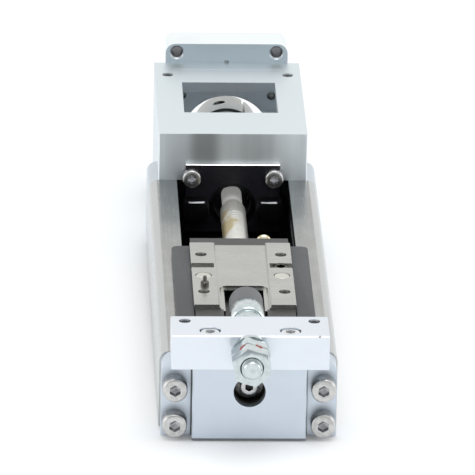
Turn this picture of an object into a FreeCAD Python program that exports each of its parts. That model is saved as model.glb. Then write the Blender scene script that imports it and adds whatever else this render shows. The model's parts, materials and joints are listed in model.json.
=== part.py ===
import FreeCAD, Part
import os
import re
import Sketcher

# Electric slide table: a ball screw in a U-shaped rail drives a carriage along +Y.
# X is across the rail, +Y runs from the stop end to the motor end, +Z is up.
# The origin is the middle of the rail's base face. All sizes are in millimetres.

SIZES = {
    # Guide rail
    "rail_width": 50.0,
    "rail_height": 22.5,
    "rail_length": 140.0,
    "rail_corner": 3.0,
    "rail_floor": 6.0,
    "rail_wall": 8.5,
    "groove_radius": 1.6,
    "groove_low_drop": 12.0,
    "groove_high_drop": 5.0,
    "base_hole_edge": 5.5,
    "base_hole_pitch": 116.0,
    "base_hole_bore": 4.5,
    "base_hole_head": 8.0,
    "base_hole_sink": 3.2,
    # Clearances
    "run_gap": 0.05,
    "thread_gap": 0.05,
    "bolt_gap": 0.15,
    "guide_gap": 0.7,
    "wiper_gap": 0.3,
    # Housings at the two ends of the rail
    "housing_lift": 0.6,
    "wing_inset": 0.5,
    "wing_depth": 8.0,
    "nose_step": 9.0,
    "nose_depth": 4.0,
    "front_bore": 9.0,
    "rear_housing_depth": 16.0,
    "rear_bore": 11.0,
    "housing_screw_low": 4.6,
    "housing_screw_drop": 7.3,
    # Cap screws, nominal thread size in the name
    "m4_thread": 4.0,
    "m4_head": 6.9,
    "m4_head_height": 4.0,
    "m4_key": 3.0,
    "m4_bite": 8.0,
    "m3_thread": 3.0,
    "m3_head": 5.4,
    "m3_head_height": 3.0,
    "m3_key": 2.5,
    "m3_bite": 6.0,
    "m25_thread": 2.5,
    "m25_head": 4.4,
    "m25_head_height": 2.5,
    "m25_key": 2.0,
    "m25_bite": 5.0,
    "head_sink_gap": 0.3,
    "m4_core": 3.3,
    "m3_core": 2.5,
    # Screw, bearings and the bolt that closes the screw's free end
    "screw_drop": 7.5,
    "screw_diameter": 7.6,
    "journal_diameter": 6.0,
    "stub_diameter": 5.0,
    "thread_end_gap": 6.0,
    "thread_reach": 0.8,
    "bearing_gap": 0.3,
    "bearing_ring": 1.6,
    "front_bearing_outside": 13.0,
    "front_bearing_width": 5.0,
    "rear_bearing_outside": 13.0,
    "rear_bearing_width": 6.0,
    "rear_bearing_inset": 2.0,
    "lock_ring_outside": 9.6,
    "lock_ring_width": 5.0,
    "end_washer_gap": 0.5,
    "end_washer_width": 0.8,
    # Bearing holder plate and the rubber end bumpers on it
    "holder_gap": 2.5,
    "holder_rim": 3.7,
    "holder_depth": 1.5,
    "holder_lift": 0.5,
    "holder_bore": 13.4,
    "holder_screw_edge": 1.8,
    "holder_screw_rise": 1.7,
    "end_bumper_edge": 2.9,
    "end_bumper_diameter": 8.2,
    "end_bumper_length": 5.0,
    "end_bumper_round": 0.5,
    "end_bumper_flat": 2.6,
    # Motor bracket with its window
    "bracket_step": 3.0,
    "bracket_rise": 14.5,
    "bracket_length": 64.0,
    "bracket_top_wall": 3.0,
    "bracket_side_wall": 6.0,
    "bracket_front_wall": 3.0,
    "bracket_rear_wall": 6.0,
    "bracket_bore": 27.0,
    "shaft_bore": 14.0,
    "bracket_screw_edge": 4.0,
    "bracket_screw_low": 5.0,
    "bracket_screw_drop": 3.5,
    "window_rim": 2.0,
    "window_length": 27.0,
    "edge_break": 0.25,
    # Motor flange
    "flange_width": 37.0,
    "flange_rise": 6.0,
    "flange_depth": 10.5,
    "flange_corner": 3.0,
    "pilot_diameter": 30.0,
    "pilot_depth": 3.0,
    "flange_screw_circle": 38.2,
    "motor_bolt_circle": 46.0,
    "ear_hole_span": 30.2,
    "ear_hole_drop": 2.7,
    "ear_hole_bore": 3.4,
    "ear_hole_chamfer": 0.5,
    "witness_hole_bore": 1.4,
    "witness_hole_depth": 2.0,
    "witness_hole_drop": 5.8,
    # Cover holes in the stop plate and in the bracket
    "cover_hole_edge": 3.9,
    "cover_hole_depth": 8.0,
    "cover_hole_inset": 3.8,
    "bracket_cover_inset": 11.0,
    # Stop plate, stop bolt and its nuts
    "plate_step": 3.0,
    "plate_height": 10.0,
    "plate_depth": 15.5,
    "plate_overhang": 2.0,
    "plate_screw_span": 22.4,
    "plate_screw_inset": 4.3,
    "stop_thread": 6.0,
    "stop_shoulder": 8.0,
    "stop_shoulder_length": 7.0,
    "stop_collar": 10.0,
    "stop_collar_length": 8.0,
    "stop_tip_out": 2.0,
    "stop_tip_chamfer": 0.6,
    "bumper_diameter": 8.8,
    "bumper_length": 9.5,
    "bumper_round": 0.8,
    "stop_gap": 0.5,
    "nut_across": 10.0,
    "nut_height": 5.2,
    "nut_turn": 13.0,
    "washer_outside": 11.0,
    "washer_width": 1.6,
    # Carriage
    "carriage_rest": 27.5,
    "block_length": 50.5,
    "platform_gap": 2.0,
    "block_rise": 3.5,
    "block_lift": 0.9,
    "shoulder_drop": 0.7,
    "pad_width": 7.2,
    "pad_step": 0.9,
    "slot_length": 3.6,
    "slot_front": 29.8,
    "slot_depth": 1.4,
    "slot_inset": 0.7,
    "notch_margin": 0.4,
    "notch_length": 17.5,
    "notch_depth": 1.0,
    "notch_corner": 2.5,
    "stop_slot_margin": 1.3,
    "table_hole_edge": 3.0,
    "table_hole_pitch": 30.0,
    "table_hole_front": 10.5,
    "table_hole_depth": 8.0,
    "plug_edge": 3.3,
    "plug_front": 23.5,
    "plug_diameter": 4.7,
    "plug_depth": 2.0,
    "set_screw_diameter": 4.2,
    "set_screw_length": 3.0,
    "set_screw_rise": 1.2,
    "set_screw_key": 2.0,
    "pin_edge": 3.4,
    "pin_front": 15.6,
    "pin_base": 2.4,
    "pin_base_height": 1.2,
    "pin_stem": 1.2,
    "pin_height": 2.9,
    "pin_seat": 2.0,
    "nut_bore": 13.0,
    "nut_inset": 4.0,
    # End plates, seals and grease nipple
    "end_plate_depth": 7.0,
    "end_plate_rise": 2.1,
    "screw_wipe_gap": 0.6,
    "end_plate_notch": 12.4,
    "end_screw_edge": 3.8,
    "end_screw_drop": 11.0,
    "seal_width": 5.2,
    "seal_height": 1.5,
    "seal_reach": 1.5,
    "seal_corner": 2.0,
    "nipple_offset": 7.5,
    "nipple_drop": 1.1,
    "nipple_diameter": 4.6,
    "nipple_waist": 3.2,
    "nipple_length": 7.2,
    "nipple_collar": 2.0,
    "nipple_dome": 1.6,
    # Shaft coupling
    "hub_diameter": 19.4,
    "hub_length": 11.5,
    "hub_slit": 1.0,
    "hub_turn": 33.0,
    "hub_inset": 21.0,
    "motor_shaft": 8.0,
    "disc_diameter": 18.6,
    "disc_width": 3.0,
    "disc_bore": 9.0,
    "clamp_offset": 6.6,
    "clamp_bore": 2.8,
    "clamp_thread": 2.0,
}

doc = FreeCAD.newDocument("SlideTable")
sheet = doc.addObject("Spreadsheet::Sheet", "Dims")
for row, (alias, value) in enumerate(SIZES.items(), start=1):
    sheet.set(f"A{row}", alias)
    sheet.set(f"B{row}", str(value))
    sheet.setAlias(f"B{row}", alias)
doc.recompute()

# Named places, written with the sheet's names
RAIL_FRONT = "(-rail_length / 2)"
RAIL_REAR = "(rail_length / 2)"
SCREW_AXIS = "(rail_height - screw_drop)"
CHANNEL_HALF = "(rail_width / 2 - rail_wall)"
WALL_MIDDLE = "(rail_width / 2 - rail_wall / 2)"
GROOVE_LOW = "(rail_height - groove_low_drop)"
GROOVE_HIGH = "(rail_height - groove_high_drop)"
NOSE_HALF = "(rail_width / 2 - nose_step)"
WING_HALF = "(rail_width / 2 - wing_inset)"
PLATE_HALF = "(rail_width / 2 - plate_step)"
BRACKET_HALF = "(rail_width / 2 - bracket_step)"
CAVITY_HALF = f"({BRACKET_HALF} - bracket_side_wall)"
HOLDER_HALF = f"({CHANNEL_HALF} - holder_gap)"
HOLDER_SCREW_Z = "(rail_height + holder_screw_rise)"
BLOCK_HALF = f"({CHANNEL_HALF} - platform_gap)"
BLOCK_TOP = "(rail_height + block_rise)"
BLOCK_SHOULDER = "(rail_height - shoulder_drop)"
PLUG_X = f"({BLOCK_HALF} - plug_edge)"
END_PLATE_TOP = "(rail_height + end_plate_rise)"
WING_FRONT = f"({RAIL_FRONT} - wing_depth)"
NOSE_FRONT = f"({WING_FRONT} - nose_depth)"
STOP_FRONT = f"({NOSE_FRONT} - plate_overhang)"
STOP_REAR = f"({STOP_FRONT} + plate_depth)"
STOP_AXIS = "(rail_height + plate_height / 2)"
STOP_SLOT_FLOOR = f"({STOP_AXIS} - stop_collar / 2 - stop_gap)"
COLLAR_FRONT = f"({STOP_REAR} + stop_shoulder_length)"
COLLAR_REAR = f"({COLLAR_FRONT} + stop_collar_length)"
NUTS_FRONT = f"({STOP_FRONT} - washer_width - 2 * nut_height)"
HOUSING_REAR = f"({RAIL_REAR} + rear_housing_depth)"
HOLDER_FRONT = f"({RAIL_REAR} - holder_depth)"
BRACKET_TOP = "(rail_height + bracket_rise)"
BRACKET_REAR = f"({RAIL_REAR} + bracket_length)"
CAVITY_FRONT = f"({HOUSING_REAR} + bracket_front_wall)"
CAVITY_REAR = f"({BRACKET_REAR} - bracket_rear_wall)"
FLANGE_TOP = f"({BRACKET_TOP} + flange_rise)"
FLANGE_BOTTOM = f"({SCREW_AXIS} - flange_width / 2)"
FLANGE_REAR = f"({BRACKET_REAR} + flange_depth)"
BLOCK_FRONT = f"({RAIL_FRONT} + carriage_rest)"
BLOCK_REAR = f"({BLOCK_FRONT} + block_length)"
BLOCK_FLOOR = "(rail_floor + block_lift)"
PAD_INNER = f"({BLOCK_HALF} - pad_width)"
MIDDLE_TOP = f"({BLOCK_TOP} - pad_step)"
GUIDE_HALF = f"({CHANNEL_HALF} - guide_gap)"
END_SCREW_X = f"({GUIDE_HALF} - end_screw_edge)"
HUB_FRONT = f"({BRACKET_REAR} - hub_inset)"
DISC_FRONT = f"({HUB_FRONT} + hub_length)"
HUB_REAR = f"({DISC_FRONT} + disc_width)"


def bound(text):
    """Writes a size expression with the sheet's name before each of its aliases."""
    def full_name(match):
        word = match.group()
        return f"Dims.{word}" if word in SIZES else word
    return re.sub(r"[a-z_][a-z0-9_]*", full_name, text)


def number(text):
    return float(sheet.evalExpression(bound(text)))


def tie(item, setting, text):
    item.setExpression(setting, bound(text))


def new_body(name):
    item = doc.addObject("PartDesign::Body", name)
    item.Label = name
    return item


def place(item, x="0", y="0", z="0", rotation=None):
    """Gives a piece its place, with an optional turn given as (axis, degrees)."""
    if rotation is not None:
        axis, degrees = rotation
        item.Placement = FreeCAD.Placement(FreeCAD.Vector(), FreeCAD.Rotation(FreeCAD.Vector(*axis), degrees))
    for letter, text in zip("xyz", (x, y, z)):
        tie(item, f"Placement.Base.{letter}", text)
    return item


def draw_on(item, plane, offset="0"):
    """Starts a sketch on one of the body's planes: XY at a height, XZ at a depth, YZ at a side."""
    drawing = item.newObject("Sketcher::SketchObject", f"{item.Name}_sketch")
    support = [feature for feature in item.Origin.OriginFeatures if feature.Role == f"{plane}_Plane"]
    drawing.AttachmentSupport = (support[0], [""])
    drawing.MapMode = "FlatFace"
    sign = "-" if plane == "XZ" else ""
    tie(drawing, "AttachmentOffset.Base.z", f"{sign}({offset})")
    return drawing


def pin_point(drawing, geometry, position, x, y):
    for kind, text in (("DistanceX", x), ("DistanceY", y)):
        spot = Sketcher.Constraint(kind, -1, 1, geometry, position, number(text))
        tie(drawing, f"Constraints[{drawing.addConstraint(spot)}]", text)


def outline(drawing, corners):
    """Draws a closed outline through corners whose coordinates are size expressions."""
    spots = [FreeCAD.Vector(number(x), number(y), 0) for x, y in corners]
    first = drawing.GeometryCount
    count = len(spots)
    for index, spot in enumerate(spots):
        drawing.addGeometry(Part.LineSegment(spot, spots[(index + 1) % count]), False)
    for index, (x, y) in enumerate(corners):
        following = first + (index + 1) % count
        drawing.addConstraint(Sketcher.Constraint("Coincident", first + index, 2, following, 1))
        pin_point(drawing, first + index, 1, x, y)
    return drawing


def box_outline(drawing, x0, y0, x1, y1):
    return outline(drawing, [(x0, y0), (x1, y0), (x1, y1), (x0, y1)])


def circles(drawing, centres, diameter):
    """Draws equal circles at centres whose coordinates are size expressions."""
    for x, y in centres:
        centre = FreeCAD.Vector(number(x), number(y), 0)
        ring = drawing.addGeometry(Part.Circle(centre, FreeCAD.Vector(0, 0, 1), number(diameter) / 2), False)
        pin_point(drawing, ring, 3, x, y)
        size = drawing.addConstraint(Sketcher.Constraint("Diameter", ring, number(diameter)))
        tie(drawing, f"Constraints[{size}]", diameter)
    return drawing


def hexagon(drawing, across, x="0", y="0", turn="0"):
    corner = f"(({across}) / 2 / cos(30))"
    corners = [(f"{x} + {corner} * cos({turn} + {angle})", f"{y} + {corner} * sin({turn} + {angle})")
               for angle in range(0, 360, 60)]
    return outline(drawing, corners)


def pad(item, drawing, depth, reverse=False):
    feature = item.newObject("PartDesign::Pad", f"{item.Name}_pad")
    feature.Profile = drawing
    feature.Reversed = reverse
    tie(feature, "Length", depth)


def pocket(item, drawing, depth, reverse=False):
    feature = item.newObject("PartDesign::Pocket", f"{item.Name}_pocket")
    feature.Profile = drawing
    feature.Reversed = reverse
    tie(feature, "Length", depth)


def edges_where(item, wanted):
    """Names the straight edges of a body for which wanted(middle, direction) holds."""
    doc.recompute()
    names = []
    for index, edge in enumerate(item.Shape.Edges, start=1):
        if edge.Curve.TypeId != "Part::GeomLine":
            continue
        middle = edge.valueAt((edge.FirstParameter + edge.LastParameter) / 2)
        if wanted(middle, edge.Curve.Direction):
            names.append(f"Edge{index}")
    return names


def rims_where(item, wanted):
    """Names the round edges of a body for which wanted(centre) holds."""
    doc.recompute()
    return [f"Edge{index}" for index, edge in enumerate(item.Shape.Edges, start=1)
            if edge.Curve.TypeId == "Part::GeomCircle" and wanted(edge.Curve.Center)]


def dress(item, kind, setting, size, names):
    """Adds a fillet or a chamfer of one size to the named edges."""
    base = item.Tip
    feature = item.newObject(f"PartDesign::{kind}", f"{item.Name}_{kind.lower()}")
    feature.Base = (base, names)
    tie(feature, setting, size)
    item.Tip = feature


def round_edges(item, size, wanted):
    dress(item, "Fillet", "Radius", size, edges_where(item, wanted))


def break_edges(item, wanted):
    dress(item, "Chamfer", "Size", "edge_break", edges_where(item, wanted))


def near(value, text):
    return abs(value - number(text)) < 0.01


def along(direction, axis):
    return abs(abs(getattr(direction, axis)) - 1) < 1e-6


def pair(half, other):
    """Two places that lie evenly about the middle plane."""
    return [(f"-({half})", other), (f"({half})", other)]


def four(half, low, high):
    return pair(half, low) + pair(half, high)


def on_circle(circle):
    """Four places at 45 degrees on a bolt circle about the screw's axis."""
    reach = f"{circle} / 2 * cos(45)"
    return four(reach, f"{SCREW_AXIS} - ({reach})", f"{SCREW_AXIS} + ({reach})")


def turned(name, profile, x="0", y="0", z="0", rotation=None):
    """Turns a profile of (place along Y, radius) pairs about the Y axis."""
    item = new_body(name)
    drawing = outline(draw_on(item, "YZ"), profile)
    feature = item.newObject("PartDesign::Revolution", f"{name}_turning")
    feature.Profile = drawing
    feature.ReferenceAxis = (drawing, ["H_Axis"])
    feature.Angle = 360
    return place(item, x, y, z, rotation)


def ring(name, start, end, outside, inside, z):
    """A plain ring about the Y axis, sized by its diameters."""
    bore, rim = f"{inside} / 2", f"{outside} / 2"
    return turned(name, [(start, bore), (end, bore), (end, rim), (start, rim)], z=z)


def cap_screw(name, size, length):
    """A socket head cap screw that goes in along +Y, with its seat at the origin."""
    head = f"{size}_head / 2"
    shank = f"({size}_thread / 2 - thread_gap)"
    item = turned(name, [(f"-{size}_head_height", "0"), (length, "0"), (length, shank), ("0", shank),
                         ("0", head), (f"-{size}_head_height", head)])
    socket = hexagon(draw_on(item, "XZ", f"-{size}_head_height"), f"{size}_key", turn="30")
    pocket(item, socket, f"{size}_head_height / 2")
    return item


def group(name, source, places, rotation=((0, 0, 1), 0)):
    """Repeats one piece at several places as the solids of one node."""
    copies = []
    for index, (x, y, z) in enumerate(places):
        copy = doc.addObject("App::Link", f"{name}_{index}")
        copy.LinkedObject = source
        copies.append(place(copy, x, y, z, rotation))
    item = doc.addObject("Part::Compound", name)
    item.Label = name
    item.Links = copies
    return item


ABOUT_X = (1, 0, 0)
ABOUT_Y = (0, 1, 0)
ABOUT_Z = (0, 0, 1)
HOUSING_SCREWS = four(WALL_MIDDLE, "housing_screw_low", "rail_height - housing_screw_drop")
BRACKET_SCREWS = four(f"{CAVITY_HALF} - bracket_screw_edge", "bracket_screw_low",
                      "rail_height - bracket_screw_drop")
HOLDER_SCREWS = pair(f"{HOLDER_HALF} - holder_screw_edge", HOLDER_SCREW_Z)
PLATE_SCREW_Y = f"({STOP_FRONT} + plate_screw_inset)"
PLATE_SCREWS = pair("plate_screw_span / 2", PLATE_SCREW_Y)
END_SCREWS = pair(END_SCREW_X, "rail_height - end_screw_drop")
M4_CLEAR = "m4_thread + 2 * bolt_gap"
M3_CLEAR = "m3_thread + 2 * bolt_gap"
M25_CLEAR = "m25_thread + 2 * bolt_gap"


def rail_section_corner(middle, direction):
    """Upper outer edges of everything that has the rail's outside section."""
    return along(direction, "y") and near(abs(middle.x), "rail_width / 2") and near(middle.z, "rail_height")


def make_guide_rail():
    item = new_body("guide_rail")
    side, inner = "rail_width / 2", CHANNEL_HALF
    section = outline(draw_on(item, "XZ", RAIL_FRONT), [
        (f"-{side}", "0"), (side, "0"), (side, "rail_height"), (inner, "rail_height"), (inner, "rail_floor"),
        (f"-{inner}", "rail_floor"), (f"-{inner}", "rail_height"), (f"-{side}", "rail_height")])
    pad(item, section, "rail_length", reverse=True)
    round_edges(item, "rail_corner", rail_section_corner)
    grooves = circles(draw_on(item, "XZ", RAIL_FRONT), four(CHANNEL_HALF, GROOVE_LOW, GROOVE_HIGH),
                      "2 * groove_radius")
    pocket(item, grooves, "rail_length")
    bolts = four(f"{CHANNEL_HALF} - base_hole_edge", "-base_hole_pitch / 2", "base_hole_pitch / 2")
    pocket(item, circles(draw_on(item, "XY"), bolts, "base_hole_bore"), "rail_floor", reverse=True)
    pocket(item, circles(draw_on(item, "XY", "rail_floor"), bolts, "base_hole_head"), "base_hole_sink")
    pocket(item, circles(draw_on(item, "XZ", RAIL_FRONT), HOUSING_SCREWS, "m4_thread"), "m4_bite + 1")
    pocket(item, circles(draw_on(item, "XZ", RAIL_REAR), HOUSING_SCREWS, "m4_thread"), "m4_bite + 1",
           reverse=True)
    return item


def make_front_housing():
    item = new_body("front_housing")
    wings = draw_on(item, "XZ", WING_FRONT)
    pad(item, box_outline(wings, f"-{WING_HALF}", "housing_lift", WING_HALF, "rail_height"),
        "wing_depth", reverse=True)
    round_edges(item, "rail_corner", lambda middle, direction: along(direction, "y")
                and near(middle.z, "rail_height"))
    nose = draw_on(item, "XZ", NOSE_FRONT)
    pad(item, box_outline(nose, f"-{NOSE_HALF}", "housing_lift", NOSE_HALF, "rail_height"),
        "nose_depth", reverse=True)
    break_edges(item, lambda middle, direction: near(middle.y, NOSE_FRONT)
                and not near(middle.z, "rail_height"))
    axis = [("0", SCREW_AXIS)]
    pocket(item, circles(draw_on(item, "XZ", NOSE_FRONT), axis, "front_bore"), "nose_depth + wing_depth")
    pocket(item, circles(draw_on(item, "XZ", RAIL_FRONT), axis, "front_bearing_outside"),
           "front_bearing_width", reverse=True)
    pocket(item, circles(draw_on(item, "XZ", WING_FRONT), HOUSING_SCREWS, M4_CLEAR), "wing_depth")
    pocket(item, circles(draw_on(item, "XY", "rail_height"), PLATE_SCREWS, "m3_thread"), "m3_bite + 1")
    return item


def make_rear_housing():
    item = new_body("rear_housing")
    section = draw_on(item, "XZ", RAIL_REAR)
    pad(item, box_outline(section, "-rail_width / 2", "housing_lift", "rail_width / 2", "rail_height"),
        "rear_housing_depth", reverse=True)
    round_edges(item, "rail_corner", rail_section_corner)
    axis = [("0", SCREW_AXIS)]
    pocket(item, circles(draw_on(item, "XZ", RAIL_REAR), axis, "rear_bore"), "rear_housing_depth")
    pocket(item, circles(draw_on(item, "XZ", HOUSING_REAR), axis, "rear_bearing_outside"),
           "rear_bearing_width + rear_bearing_inset", reverse=True)
    pocket(item, circles(draw_on(item, "XZ", RAIL_REAR), HOUSING_SCREWS, M4_CLEAR), "rear_housing_depth")
    pocket(item, circles(draw_on(item, "XZ", HOUSING_REAR), HOUSING_SCREWS, "m4_head + 2 * bolt_gap"),
           "m4_head_height + head_sink_gap", reverse=True)
    pocket(item, circles(draw_on(item, "XZ", HOUSING_REAR), BRACKET_SCREWS, "m3_thread"), "m3_bite + 1",
           reverse=True)
    return item


def make_bearing_holder():
    item = new_body("bearing_holder")
    face = draw_on(item, "XZ", HOLDER_FRONT)
    pad(item, box_outline(face, f"-{HOLDER_HALF}", "rail_floor + holder_lift", HOLDER_HALF,
                          f"{HOLDER_SCREW_Z} + holder_rim"),
        "holder_depth", reverse=True)
    break_edges(item, lambda middle, direction: near(middle.y, HOLDER_FRONT))
    bore = circles(draw_on(item, "XZ", HOLDER_FRONT), [("0", SCREW_AXIS)], "holder_bore")
    pocket(item, bore, "holder_depth")
    pocket(item, circles(draw_on(item, "XZ", HOLDER_FRONT), HOLDER_SCREWS, M3_CLEAR), "holder_depth")
    return item


def make_motor_bracket():
    item = new_body("motor_bracket")
    side = outline(draw_on(item, "YZ", f"-{BRACKET_HALF}"), [
        (RAIL_REAR, "rail_height"), (HOUSING_REAR, "rail_height"), (HOUSING_REAR, "0"),
        (BRACKET_REAR, "0"), (BRACKET_REAR, BRACKET_TOP), (RAIL_REAR, BRACKET_TOP)])
    pad(item, side, f"2 * {BRACKET_HALF}")
    break_edges(item, lambda middle, direction: along(direction, "z") and near(middle.y, RAIL_REAR))
    cavity = box_outline(draw_on(item, "XY"), f"-{CAVITY_HALF}", CAVITY_FRONT, CAVITY_HALF, CAVITY_REAR)
    pocket(item, cavity, f"{BRACKET_TOP} - bracket_top_wall", reverse=True)
    window = box_outline(draw_on(item, "XY", BRACKET_TOP), f"-({CAVITY_HALF} - window_rim)", CAVITY_FRONT,
                         f"{CAVITY_HALF} - window_rim", f"{CAVITY_FRONT} + window_length")
    pocket(item, window, "bracket_top_wall")
    axis = [("0", SCREW_AXIS)]
    pocket(item, circles(draw_on(item, "XZ", CAVITY_REAR), axis, "bracket_bore"), "bracket_rear_wall")
    pocket(item, circles(draw_on(item, "XZ", CAVITY_REAR), on_circle("flange_screw_circle"), "m25_thread"),
           "bracket_rear_wall")
    pocket(item, circles(draw_on(item, "XZ", HOUSING_REAR), axis, "shaft_bore"), "bracket_front_wall")
    pocket(item, circles(draw_on(item, "XZ", HOUSING_REAR), BRACKET_SCREWS, M3_CLEAR), "bracket_front_wall")
    pocket(item, circles(draw_on(item, "XZ", RAIL_REAR), HOLDER_SCREWS, "m3_thread"), "m3_bite + 1")
    covers = pair(f"{BRACKET_HALF} - cover_hole_edge", f"{BRACKET_REAR} - bracket_cover_inset")
    pocket(item, circles(draw_on(item, "XY", BRACKET_TOP), covers, "m4_core"), "cover_hole_depth")
    return item


def make_motor_flange():
    item = new_body("motor_flange")
    face = draw_on(item, "XZ", BRACKET_REAR)
    pad(item, box_outline(face, "-flange_width / 2", FLANGE_BOTTOM, "flange_width / 2", FLANGE_TOP),
        "flange_depth", reverse=True)
    round_edges(item, "flange_corner", lambda middle, direction: along(direction, "y"))
    axis = [("0", SCREW_AXIS)]
    pocket(item, circles(draw_on(item, "XZ", BRACKET_REAR), axis, "bracket_bore"), "flange_depth")
    pilot = circles(draw_on(item, "XZ", FLANGE_REAR), axis, "pilot_diameter")
    pocket(item, pilot, "pilot_depth", reverse=True)
    bolts = on_circle("flange_screw_circle")
    pocket(item, circles(draw_on(item, "XZ", BRACKET_REAR), bolts, M25_CLEAR), "flange_depth")
    pocket(item, circles(draw_on(item, "XZ", FLANGE_REAR), bolts, "m25_head + 2 * bolt_gap"),
           "m25_head_height + head_sink_gap", reverse=True)
    pocket(item, circles(draw_on(item, "XZ", BRACKET_REAR), on_circle("motor_bolt_circle"), "m3_core"),
           "flange_depth")
    ears = pair("ear_hole_span / 2", f"{FLANGE_TOP} - ear_hole_drop")
    pocket(item, circles(draw_on(item, "XZ", BRACKET_REAR), ears, "ear_hole_bore"), "flange_depth")
    ear_rims = rims_where(item, lambda centre: near(centre.y, BRACKET_REAR)
                          and near(centre.z, f"{FLANGE_TOP} - ear_hole_drop"))
    dress(item, "Chamfer", "Size", "ear_hole_chamfer", ear_rims)
    spot = [("0", f"{FLANGE_TOP} - witness_hole_drop")]
    witness = circles(draw_on(item, "XZ", BRACKET_REAR), spot, "witness_hole_bore")
    pocket(item, witness, "witness_hole_depth")
    return item


def make_stop_plate():
    item = new_body("stop_plate")
    face = draw_on(item, "XZ", STOP_FRONT)
    top = "rail_height + plate_height"
    pad(item, box_outline(face, f"-{PLATE_HALF}", "rail_height", PLATE_HALF, top),
        "plate_depth", reverse=True)
    break_edges(item, lambda middle, direction: not near(middle.z, "rail_height"))
    pocket(item, circles(draw_on(item, "XZ", STOP_FRONT), [("0", STOP_AXIS)], "stop_thread"), "plate_depth")
    pocket(item, circles(draw_on(item, "XY", top), PLATE_SCREWS, M3_CLEAR), "plate_height")
    pocket(item, circles(draw_on(item, "XY", top), PLATE_SCREWS, "m3_head + 4 * bolt_gap"),
           "m3_head_height + head_sink_gap")
    covers = pair(f"{PLATE_HALF} - cover_hole_edge", f"{STOP_REAR} - cover_hole_inset")
    pocket(item, circles(draw_on(item, "XY", top), covers, "m4_core"), "cover_hole_depth")
    return item


def make_stop():
    """The stop bolt with its bumper, its washer and its two lock nuts."""
    tip = f"({NUTS_FRONT} - stop_tip_out)"
    shank = "(stop_thread / 2 - thread_gap)"
    bolt = turned("stop_bolt", [
        (tip, "0"), (COLLAR_REAR, "0"), (COLLAR_REAR, "stop_collar / 2"), (COLLAR_FRONT, "stop_collar / 2"),
        (COLLAR_FRONT, "stop_shoulder / 2"), (STOP_REAR, "stop_shoulder / 2"), (STOP_REAR, shank),
        (f"{tip} + stop_tip_chamfer", shank), (tip, f"{shank} - stop_tip_chamfer")], z=STOP_AXIS)
    end = f"({COLLAR_REAR} + bumper_length)"
    bumper = turned("stop_bumper", [
        (COLLAR_REAR, "0"), (end, "0"), (end, "bumper_diameter / 2 - bumper_round"),
        (f"{end} - bumper_round", "bumper_diameter / 2"), (COLLAR_REAR, "bumper_diameter / 2")], z=STOP_AXIS)
    washer = ring("lock_washer", f"({STOP_FRONT} - washer_width)", STOP_FRONT, "washer_outside",
                  "stop_thread", STOP_AXIS)
    pieces = [bolt, bumper, washer]
    for name, front in (("lock_nut_outer", NUTS_FRONT), ("lock_nut_inner", f"({NUTS_FRONT} + nut_height)")):
        nut = new_body(name)
        flats = hexagon(draw_on(nut, "XZ", front), "nut_across", turn="nut_turn + 90")
        pad(nut, flats, "nut_height", reverse=True)
        pocket(nut, circles(draw_on(nut, "XZ", front), [("0", "0")], "stop_thread"), "nut_height")
        pieces.append(place(nut, z=STOP_AXIS))
    return pieces


def make_fasteners():
    """Cap screws of each size, repeated where they hold the base together."""
    front = cap_screw("front_screw", "m4", "wing_depth + m4_bite")
    rear = cap_screw("rear_screw", "m4", "rear_housing_depth - m4_head_height - head_sink_gap + m4_bite")
    rear_seat = f"{HOUSING_REAR} - m4_head_height - head_sink_gap"
    holder = cap_screw("holder_screw", "m3", "holder_depth + m3_bite")
    plate = cap_screw("plate_screw", "m3", "plate_height - m3_head_height - head_sink_gap + m3_bite")
    plate_seat = "rail_height + plate_height - m3_head_height - head_sink_gap"
    bracket = cap_screw("bracket_screw", "m3", "bracket_front_wall + m3_bite")
    flange = cap_screw("flange_screw", "m25", "flange_depth - m25_head_height - head_sink_gap + m25_bite")
    flange_seat = f"{FLANGE_REAR} - m25_head_height - head_sink_gap"
    flange_places = [(x, flange_seat, z) for x, z in on_circle("flange_screw_circle")]
    back = (ABOUT_Z, 180)
    return [
        group("front_housing_screws", front, [(x, WING_FRONT, z) for x, z in HOUSING_SCREWS]),
        group("rear_housing_screws", rear, [(x, rear_seat, z) for x, z in HOUSING_SCREWS], back),
        group("bearing_holder_screws", holder, [(x, HOLDER_FRONT, z) for x, z in HOLDER_SCREWS]),
        group("stop_plate_screws", plate, [(x, y, plate_seat) for x, y in PLATE_SCREWS], (ABOUT_X, -90)),
        group("bracket_screws", bracket, [(x, CAVITY_FRONT, z) for x, z in BRACKET_SCREWS], back),
        group("flange_screws", flange, flange_places, back)]


def make_end_bumpers():
    tip = "-end_bumper_length"
    radius = "end_bumper_diameter / 2"
    one = turned("end_bumper", [
        (tip, "0"), ("0", "0"), ("0", radius), (f"{tip} + end_bumper_round", radius),
        (tip, f"{radius} - end_bumper_round")])
    above = box_outline(draw_on(one, "XZ", tip), f"-{radius}", "end_bumper_flat", radius, radius)
    pocket(one, above, "end_bumper_length")
    spots = pair(f"{HOLDER_HALF} - end_bumper_edge", SCREW_AXIS)
    return [group("end_bumpers", one, [(x, HOLDER_FRONT, z) for x, z in spots])]


def make_bearings():
    """Each bearing is an outer ring in its housing and an inner ring on the screw."""
    seats = (("front", f"({RAIL_FRONT} - front_bearing_width)", RAIL_FRONT),
             ("rear", f"({HOUSING_REAR} - rear_bearing_inset - rear_bearing_width)",
              f"({HOUSING_REAR} - rear_bearing_inset)"))
    pieces = []
    for end, start, stop in seats:
        inner = "(journal_diameter + 2 * bearing_ring)"
        pieces.append(ring(f"{end}_bearing_outer", start, stop, f"{end}_bearing_outside",
                           f"({inner} + 2 * bearing_gap)", SCREW_AXIS))
        pieces.append(ring(f"{end}_bearing_inner", start, stop, inner, "journal_diameter", SCREW_AXIS))
    return pieces


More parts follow.
